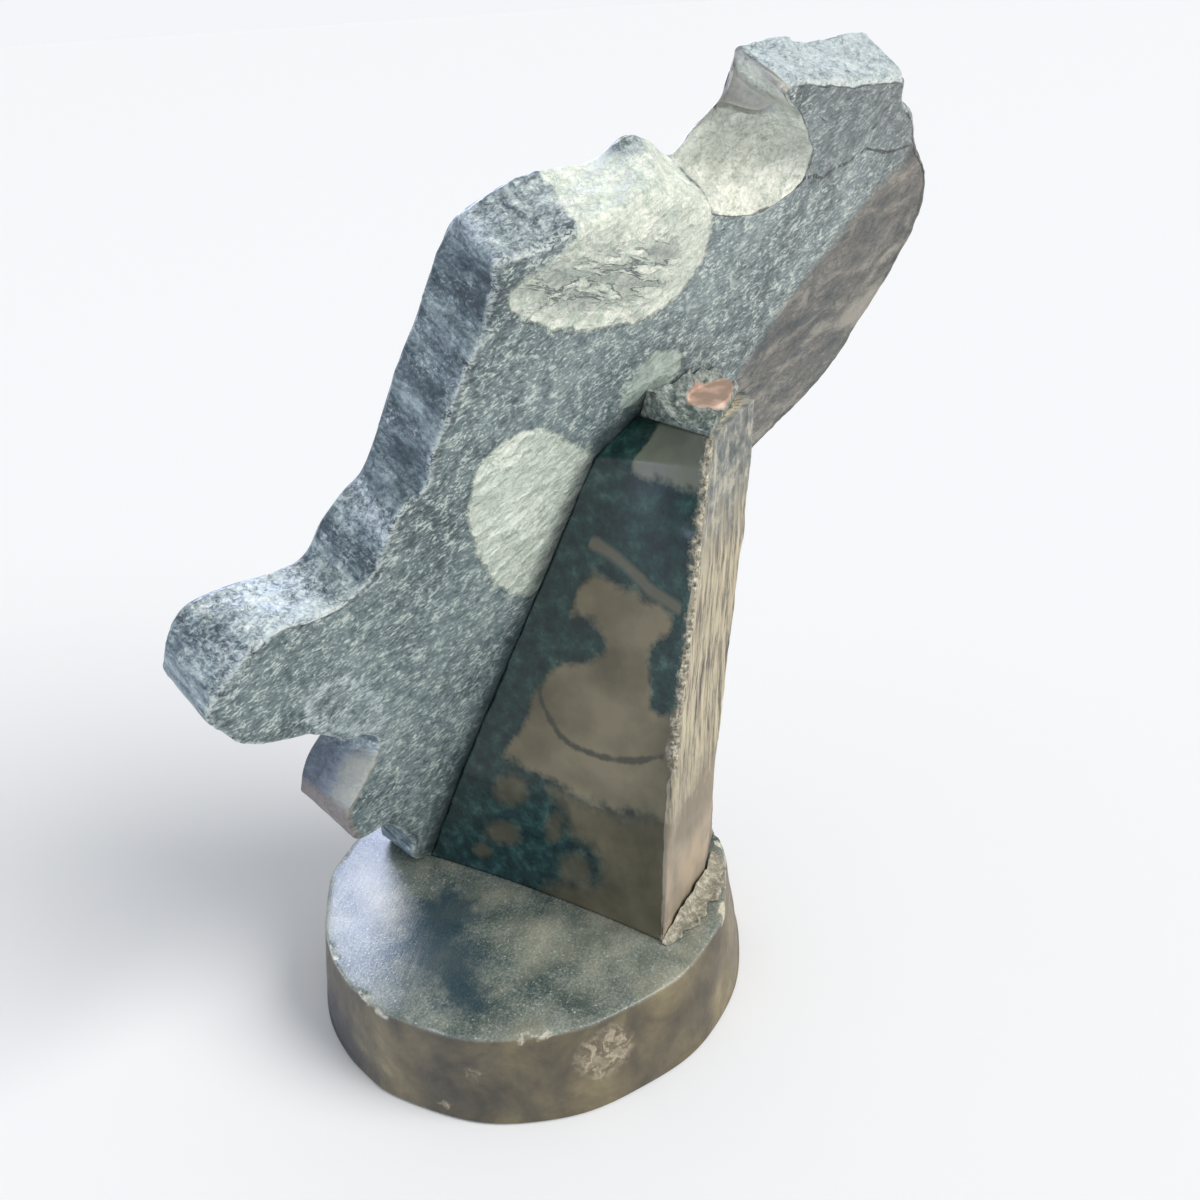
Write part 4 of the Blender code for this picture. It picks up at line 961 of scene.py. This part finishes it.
# Marks on the polished side, as outlines of the share of the way from the plate to the ridge, in
# hundredths, and the height above the base in millimetres
PROP_MARKS = {
    "tan_stone": ((18.0, 50.0), (17.0, 44.0), (30.0, 41.5), (45.0, 39.5), (60.0, 37.5), (75.0, 37.0),
                  (90.0, 39.0), (106.0, 40.0), (106.0, 70.0), (96.0, 69.5), (90.0, 68.5), (85.0, 70.0),
                  (82.0, 78.0), (79.0, 84.0), (80.0, 88.5), (88.0, 91.0), (90.0, 95.0), (84.0, 97.0),
                  (76.0, 98.5), (66.0, 99.5), (55.0, 100.5), (44.0, 102.0), (34.0, 103.0),
                  (27.0, 102.0), (24.0, 98.0), (25.0, 92.0), (30.0, 90.5), (38.0, 90.0), (46.0, 88.0),
                  (53.0, 84.0), (50.0, 81.0), (44.0, 78.0), (34.0, 76.5), (26.0, 73.0), (21.0, 67.0),
                  (20.0, 60.0), (20.5, 55.0)),
    "top_stone": ((32.0, 146.0), (33.0, 137.0), (34.5, 131.0), (44.0, 129.8), (60.0, 129.6),
                  (80.0, 129.2), (97.0, 130.0), (99.0, 146.0)),
    "low_stone": ((43.0, 37.5), (60.0, 36.5), (80.0, 36.0), (108.0, 38.0), (108.0, -6.0), (54.0, -6.0),
                  (52.0, 4.0), (72.0, 10.0), (70.0, 20.0), (58.0, 24.0), (52.0, 31.0)),
}
PROP_ARC = ((21.0, 67.5), (27.0, 62.5), (33.0, 58.5), (40.0, 55.0), (47.0, 52.7), (55.0, 51.7),
            (63.0, 51.3), (72.0, 51.6), (80.0, 53.0), (88.0, 55.0), (97.0, 57.8))
PROP_VEIN = ((22.0, 111.6), (38.0, 109.4), (50.0, 107.0), (60.0, 104.7), (70.0, 102.2), (82.0, 100.4),
             (97.0, 98.4))
# Round blobs low on the polished side: the middle and the half-sizes, in the same measures
PROP_BLOBS = ((25.0, 33.0, 10.0, 6.8), (27.0, 17.0, 10.0, 5.5), (49.0, 24.0, 4.8, 6.5),
              (62.0, 12.5, 9.0, 7.0), (20.0, 8.0, 5.0, 3.5))


def prop_corners(level):
    """The five corners of the block at each level, worked out between the cuts on either side."""
    cuts = np.array([[c[0], c[4], 0.0, *c[1], *c[2], *c[3], c[5], 0.0] for c in PROP_CUTS])
    corners = np.stack([np.interp(level, cuts[:, 0], cuts[:, k]) for k in range(1, 11)], axis=1)
    corners = corners.reshape(-1, 5, 2)
    lean = math.radians(PLATE_LEAN)
    plate_y = PLATE_CORNER[1] + level * math.tan(lean) + PROP_GAP / math.cos(lean)
    corners[:, (0, 4), 1] = plate_y[:, None]
    return corners


def prop_rows():
    """Loops of the block from foot to top, and for each point its hundredths along its side, its
    height and its side, and how far it is from the ridge. The sides crown a little, and the
    corners are curves whose size wanders."""
    level = np.linspace(0.0, PROP_CUTS[-1][0], PROP_LEVELS)
    corners = prop_corners(level)
    parts, along = [], []
    for i, steps in enumerate(PROP_SIDE_STEPS):
        here, after, before = corners[:, i], corners[:, (i + 1) % 5], corners[:, i - 1]
        to_before, to_after = ((other - here) / np.linalg.norm(other - here, axis=1)[:, None]
                               for other in (before, after))
        spot = np.column_stack([here, level])
        cut = PROP_CORNER_WEAR[i] * (1.0 + 0.9 * unevenness(spot, 7.0, 60 + i, 3))
        cut = np.clip(cut, 0.25, 3.0)[:, None]
        for t in np.linspace(0.0, 1.0, PROP_CORNER_STEPS):
            parts.append(here + to_before * cut * (1 - t) ** 2 + to_after * cut * t**2)
            along.append(0.0)
        span = after - here
        length = np.linalg.norm(span, axis=1)[:, None]
        normal = np.stack([span[:, 1], -span[:, 0]], axis=1) / length
        next_cut = PROP_CORNER_WEAR[(i + 1) % 5]
        for t in np.linspace(0.0, 1.0, steps + 2)[1:-1]:
            place = cut / length + (1.0 - cut / length - next_cut / length) * t
            parts.append(here + span * place - normal * PROP_CROWN[i] * 4.0 * t * (1.0 - t))
            along.append(100.0 * t)
    flat = np.stack(parts, axis=1)
    ridge = np.linalg.norm(flat - corners[:, 1:2], axis=-1)
    side = np.repeat(np.arange(5.0), [s + PROP_CORNER_STEPS for s in PROP_SIDE_STEPS])
    along, height, side = np.broadcast_arrays(np.array(along), level[:, None], side)
    rows = np.concatenate([flat, (height + BASE_HEIGHT + PROP_GAP)[..., None]], axis=-1)
    return rows, np.stack([along, height, side], axis=-1), ridge


def prop_stone():
    """Points, faces and pattern attributes of the block: saw grooves run down the sawn sides, the
    polished side is nearly smooth, and above the middle the ridge has lost crumbs."""
    rows, place, ridge = prop_rows()
    normal = surface_normals(rows)
    middle = rows[..., :2].mean(axis=1, keepdims=True)
    if np.sum(normal[..., :2] * (rows[..., :2] - middle)) < 0:
        normal = -normal
    side, level = place[..., 2], place[..., 1]
    grooves = unevenness(rows * np.array([1.0, 1.0, 0.07]), 2.6, 71, 2)
    rough, waves = unevenness(rows, 3.0, 72, 3), unevenness(rows, 16.0, 73, 2)
    push = np.select([side == 0, side == 4], [0.05 * waves, 0.0],
                     0.20 * grooves + 0.12 * rough + 0.2 * waves - 0.2)
    high = np.clip((level - 36.0) / 20.0, 0.15, 1.0)
    flakes = np.clip(unevenness(rows, 7.0, 75, 2) - 0.1, 0.0, 0.8) * np.exp(-(ridge / 3.2) ** 2)
    crumbs = np.clip(unevenness(rows, 2.6, 74, 3), 0.0, 1.0) * np.exp(-(ridge / 1.4) ** 2)
    crumbs = (0.7 * crumbs + flakes) * high
    fade = np.clip(np.minimum(level, level.max() - level) / 1.5, 0.0, 1.0)
    rows = rows + normal * ((push - 1.1 * crumbs) * fade)[..., None]
    points, faces = capped_faces(rows)
    on_polish = side == 0
    u = np.select([on_polish, side == 1], [place[..., 0], 100.0 + place[..., 0]], -60.0)
    marks = {name: outline_distance(u, level, corners) for name, corners in PROP_MARKS.items()}
    marks["arc"] = -outline_distance(u, level, PROP_ARC, closed=False)
    marks["vein"] = -outline_distance(u, level, PROP_VEIN, closed=False)
    marks["blobs"] = np.max([1.0 - np.hypot((u - a) / wide, (level - b) / tall)
                             for a, b, wide, tall in PROP_BLOBS], axis=0)
    marks["ridge"] = ridge + 8.0 * (1.0 - high)
    marks = {name: np.concatenate([values.ravel(), [0.0, 0.0]]) for name, values in marks.items()}
    marks["side"] = np.vstack([place.reshape(-1, 3), [[0.0, 0.0, 4.0]] * 2])
    return points, faces, marks


def polished_side_colour(put, mottle, haze, fray):
    """The polished side: blue-black stone with a tan shell cut through its middle and another at
    the top, a dark arc and a grey vein across them, and round blobs near the foot."""
    colour = set_ramp(put("ValToRGB", mottle), PROP_DEEP_SHADES)
    for name, stops, blur, most in PROP_SHELL_SHADES:
        stone = set_ramp(put("ValToRGB", haze), stops)
        colour = lay_over(put, colour, stone, mark_cover(put, name, fray, blur, most))
    warm = set_ramp(put("ValToRGB", haze), PROP_SHELL_SHADES[0][1])
    blob = put("Math:MULTIPLY_ADD", fray, 0.10, put("Attribute", attribute_name="blobs", out="Fac"))
    colour = lay_over(put, colour, warm, put("MapRange", blob, -0.10, 0.50, 0.0, 0.70))
    for name, reach_out, shade, most in (("arc", 0.9, "#37382f", 0.85), ("vein", 1.5, "#736c5a", 0.6)):
        away = put("Attribute", attribute_name=name, out="Fac")
        away = put("Math:ADD", away, put("Math:MULTIPLY", fray, 0.35))
        line = put("MapRange", away, reach_out * 1.5, reach_out * 0.6, 0.0, most)
        colour = lay_over(put, colour, shade, line)
    return colour


def sawn_sides_colour(put, streaks, mottle, haze, height):
    """The sawn sides: dusty cream saw marks with dark cracks between them, smooth stone low down
    and dusty grey stone at the top. height is the ragged height above the base."""
    cream = set_ramp(put("ValToRGB", streaks), PROP_CREAM_SHADES)
    smooth = set_ramp(put("ValToRGB", haze), ((0.38, "#7a7263"), (0.50, "#8b8272"), (0.62, "#9f917c")))
    dusty = set_ramp(put("ValToRGB", mottle), ((0.38, "#39464a"), (0.49, "#667070"), (0.60, "#a09f91")))
    sawn = lay_over(put, cream, smooth, put("MapRange", height, 48.0, 34.0))
    sawn = lay_over(put, sawn, dusty, put("MapRange", height, 104.0, 126.0, 0.0, 0.9))
    cracks = thin_lines(put, streaks, 0.46, 0.014, 0.004, 0.7)
    cracks = put("Math:MULTIPLY", cracks, put("MapRange", mottle, 0.46, 0.54))
    cracks = put("Math:MULTIPLY", cracks, put("MapRange", height, 38.0, 50.0))
    return lay_over(put, sawn, "#3a3d3a", cracks)


def prop_limestone():
    """Brown fossil limestone: the marks of its polished side under a clear gloss, dusty cream saw
    marks on the others, and a crumbled pale and dark ridge between them."""
    made, put, shader = new_material("polished_and_sawn_limestone")
    place = in_millimetres(put)
    mottle = put("TexNoise", place, Scale=1 / 4.5, Detail=6.0, Roughness=0.66)
    haze = put("TexNoise", place, Scale=1 / 18, Detail=4.0, Roughness=0.5)
    fray = put("Math:MULTIPLY", put("Math:SUBTRACT", mottle, 0.5), 9.0)
    # Saw marks run down the sides, 1.6 mm apart and 22 mm long
    streaks = put("TexNoise", stretched(put, place, (1.6, 1.6, 22.0)),
                  Scale=1.0, Detail=5.0, Roughness=0.65)
    side = put("Attribute", attribute_name="side", out="Vector")
    _, height, side = put("SeparateXYZ", side).node.outputs
    height = put("Math:MULTIPLY_ADD", fray, 4.0, height)
    is_sawn = put("MapRange", side, 0.4, 0.6)
    colour = lay_over(put, polished_side_colour(put, mottle, haze, fray),
                      sawn_sides_colour(put, streaks, mottle, haze, height), is_sawn)
    # Crumbs 1.3 mm across, pale and dark, over the 2 mm beside the ridge
    crumb = put("TexNoise", place, Scale=1 / 1.3, Detail=4.0, Roughness=0.7)
    crumbled = set_ramp(put("ValToRGB", crumb), PROP_CRUMB_SHADES)
    beside = put("Math:ADD", put("Attribute", attribute_name="ridge", out="Fac"), fray)
    beside = put("MapRange", beside, 2.6, 0.9)
    colour = lay_over(put, colour, crumbled, beside)
    rough = put("MapRange", put("Math:MAXIMUM", is_sawn, beside), 0.0, 1.0, 0.24, 0.58)
    bumps = put("Math:ADD", put("Math:MULTIPLY", streaks, is_sawn), put("Math:MULTIPLY", crumb, beside))
    finish_surface(put, shader, colour, rough, bumps, 0.6, 0.4, 1.45)
    return made


points, faces, marks = prop_stone()
prop = make_piece("prop_block_stone", points, faces, prop_limestone(), marks)
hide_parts("prop_block")


# Resin
# Two runs of stone-dust resin hold the pieces: a dark gritty crust poured over the prop's top
# against the plate, with a flat reddish chip of stone bedded in it, and a pale crumbly bead along
# the foot of the prop's sawn sides.
LUMP_WAVES = ((0.45, 1.1, 0.7, 1.7), (0.35, 2.3, -1.9, 3.4), (0.20, 4.1, 3.3, 5.1))
CRUST_INSET, CRUST_GAP = 1.0, 0.6
CRUST_AT_PLATE, CRUST_OUTSIDE, CRUST_LEAST, CRUST_FALL = 7.0, 1.6, 0.8, 2.2
CRUST_LUMP, CRUST_LUMPS_ALONG, CRUST_LUMPS_ACROSS = 1.2, 9.0, 6.0
# The chip in the crust: its middle and half-sizes as shares along and across, and its height
CRUST_CHIP = (0.66, 0.60, 0.40, 0.42, 2.6)
CHIP_SHADES = ((0.38, "#a08878"), (0.52, "#bf9f8f"), (0.66, "#d2b9a8"))
DARK_RESIN_SHADES = ((0.38, "#444e4b"), (0.48, "#6c7672"), (0.58, "#919b95"), (0.68, "#c2c8be"))
PALE_RESIN_SHADES = ((0.38, "#6f6d60"), (0.50, "#8f8c7c"), (0.64, "#bdb9a8"))
# Points round the crust, and its rings under, up the side and over the top
CRUST_STATIONS, CRUST_UNDER, CRUST_SIDE, CRUST_OVER = 260, 12, 4, 50
BEAD_STATIONS, BEAD_ARC_STEPS = 150, 12
BEAD_WIDTH, BEAD_HEIGHT, BEAD_LUMP, BEAD_LUMPS_ALONG = 6.0, 3.2, 0.3, 20.0
BEAD_CLEARANCES = ((0.9, 0.2), (0.3, 0.7), (-0.2, 0.8), (-0.9, 0.5))


def lumps(a, b):
    """Smooth unevenness from -1 to 1 over two parameters: three sine waves that cross."""
    return sum(size * np.sin(turn_a * a + turn_b * b + phase)
               for size, turn_a, turn_b, phase in LUMP_WAVES)


def crust_loops():
    """Loops of the crust from the middle of its underside out and back over the top to the
    middle. Its top is a height over the prop that falls from the plate outward,
    low + (high - low) * (1 - across)^2.2, with lumps and grit, and flat where the chip lies."""
    floor, ridge, corner = PROP_CUTS[-1][0] + PROP_GAP, PROP_CUTS[-1][1], PROP_CUTS[-1][3]
    near_x, far_x = PROP_CUTS[-1][4:]
    turn = np.arange(CRUST_STATIONS) * 2 * math.pi / CRUST_STATIONS
    square = 0.5 / np.maximum(np.abs(np.cos(turn)), np.abs(np.sin(turn)))
    rings = np.concatenate([np.linspace(0.04, 1.0, CRUST_UNDER), np.ones(CRUST_SIDE),
                            np.linspace(1.0, 0.02, CRUST_OVER)])
    rise_share = np.concatenate([np.zeros(CRUST_UNDER), np.linspace(0.0, 1.0, CRUST_SIDE + 2)[1:-1],
                                 np.ones(CRUST_OVER)])
    s = 0.5 + rings[:, None] * square * np.cos(turn)
    w = 0.5 + rings[:, None] * square * np.sin(turn)
    rise = CRUST_OUTSIDE + (CRUST_AT_PLATE - CRUST_OUTSIDE) * (1.0 - w) ** CRUST_FALL
    rise += CRUST_LUMP * lumps(CRUST_LUMPS_ALONG * s, CRUST_LUMPS_ACROSS * w)
    spot = np.stack([30.0 * s, 16.0 * w, 0 * s], axis=-1)
    rise += 0.55 * unevenness(spot, 2.4, 81, 3) - 0.35
    s0, w0, wide, deep, tall = CRUST_CHIP
    chip = 1.0 - np.hypot((s - s0) / wide, (w - w0) / deep)
    flat = np.clip(chip / 0.12, 0.0, 1.0)
    rise = np.maximum(rise * (1 - flat) + (tall - 0.8 * (w - w0)) * flat, CRUST_LEAST)
    level = rise * rise_share[:, None]
    outer_x = ridge[0] - CRUST_INSET + (corner[0] - ridge[0] + 2 * CRUST_INSET) * s
    outer_y = ridge[1] + (corner[1] - ridge[1]) * s - CRUST_INSET
    inner_x = near_x - CRUST_INSET + (far_x - near_x + 2 * CRUST_INSET) * s
    lean = math.radians(PLATE_LEAN)
    inner_y = PLATE_CORNER[1] + (floor + level) * math.tan(lean) + CRUST_GAP / math.cos(lean)
    rows = np.stack([inner_x + (outer_x - inner_x) * w, inner_y + (outer_y - inner_y) * w,
                     BASE_HEIGHT + PROP_GAP + floor + level], axis=-1)
    return rows[:, ::-1], np.where(rise_share[:, None] > 0.9, chip, -1.0)[:, ::-1]


def bead_loops():
    """Loops along the bead: a hollow quarter-round section, out = width * (1 - sin) and up =
    height * (1 - cos), whose size swells and thins to both ends, with grit on its face."""
    ridge, bevel, corner = (np.array(PROP_CUTS[0][i]) for i in (1, 2, 3))
    turns = np.array([ridge, 0.5 * (ridge + bevel), bevel, 0.5 * (bevel + corner)]) + BEAD_CLEARANCES
    share = np.linspace(0.0, 1.0, BEAD_STATIONS)
    route = np.stack([np.interp(share * 3, np.arange(4), turns[:, k]) for k in (0, 1)], axis=1)
    along = np.gradient(route, axis=0)
    along /= np.linalg.norm(along, axis=1)[:, None]
    away = np.stack([along[:, 1], -along[:, 0]], axis=1)
    away = away if away[0, 1] > 0 else -away
    size = np.sqrt(np.sin(0.05 + (math.pi - 0.1) * share))
    size *= 1.0 + BEAD_LUMP * lumps(BEAD_LUMPS_ALONG * share, 0.0)
    arc = np.linspace(0.0, math.pi / 2, BEAD_ARC_STEPS)
    out = np.concatenate([[0.0, 2.0, 4.0], BEAD_WIDTH * (1.0 - np.sin(arc))])
    high = np.concatenate([[0.0, 0.0, 0.0], BEAD_HEIGHT * (1.0 - np.cos(arc))])
    out[3], high[3] = BEAD_WIDTH, 0.0
    flat = route[:, None] + away[:, None] * (size[:, None] * out)[..., None]
    rows = np.concatenate([flat, (BASE_HEIGHT + PROP_GAP + size[:, None] * high)[..., None]], axis=-1)
    grit = np.clip(unevenness(rows, 2.2, 83, 3), -0.8, 0.2) * (high > 0.05) * (high < BEAD_HEIGHT * 0.98)
    rows[..., 2] += 0.35 * size[:, None] * grit
    return rows[:, ::-1]


def cast_resin(name, stops, chip=None):
    """Polyester resin thick with stone dust: matt and gritty, pale grains in a darker paste. A
    chip of smooth reddish stone lies in it where its attribute is positive."""
    made, put, shader = new_material(name)
    place = in_millimetres(put)
    # Grains 1.6 mm across
    grit = put("TexNoise", place, Scale=1 / 1.6, Detail=6.0, Roughness=0.75)
    colour, height = set_ramp(put("ValToRGB", grit), stops), grit
    if chip:
        inside = put("MapRange", put("Attribute", attribute_name=chip, out="Fac"), 0.0, 0.08)
        grain = put("TexNoise", place, Scale=1 / 6, Detail=5.0)
        colour = lay_over(put, colour, set_ramp(put("ValToRGB", grain), CHIP_SHADES), inside)
        height = put("Math:MULTIPLY", grit, put("MapRange", inside, 0.0, 1.0, 1.0, 0.1))
    finish_surface(put, shader, colour, 0.6, height, 0.6, 0.5)
    return made


rows, chip = crust_loops()
points, faces = capped_faces(rows)
crust = make_piece("resin_crust_cast", points, faces,
                   cast_resin("dark_stone_resin", DARK_RESIN_SHADES, "chip"),
                   {"chip": np.concatenate([chip.ravel(), [-1.0, -1.0]])})
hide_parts("resin_crust")

points, faces = capped_faces(bead_loops())
bead = make_piece("resin_bead_cast", points, faces, cast_resin("pale_stone_resin", PALE_RESIN_SHADES))
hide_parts("resin_fillet")
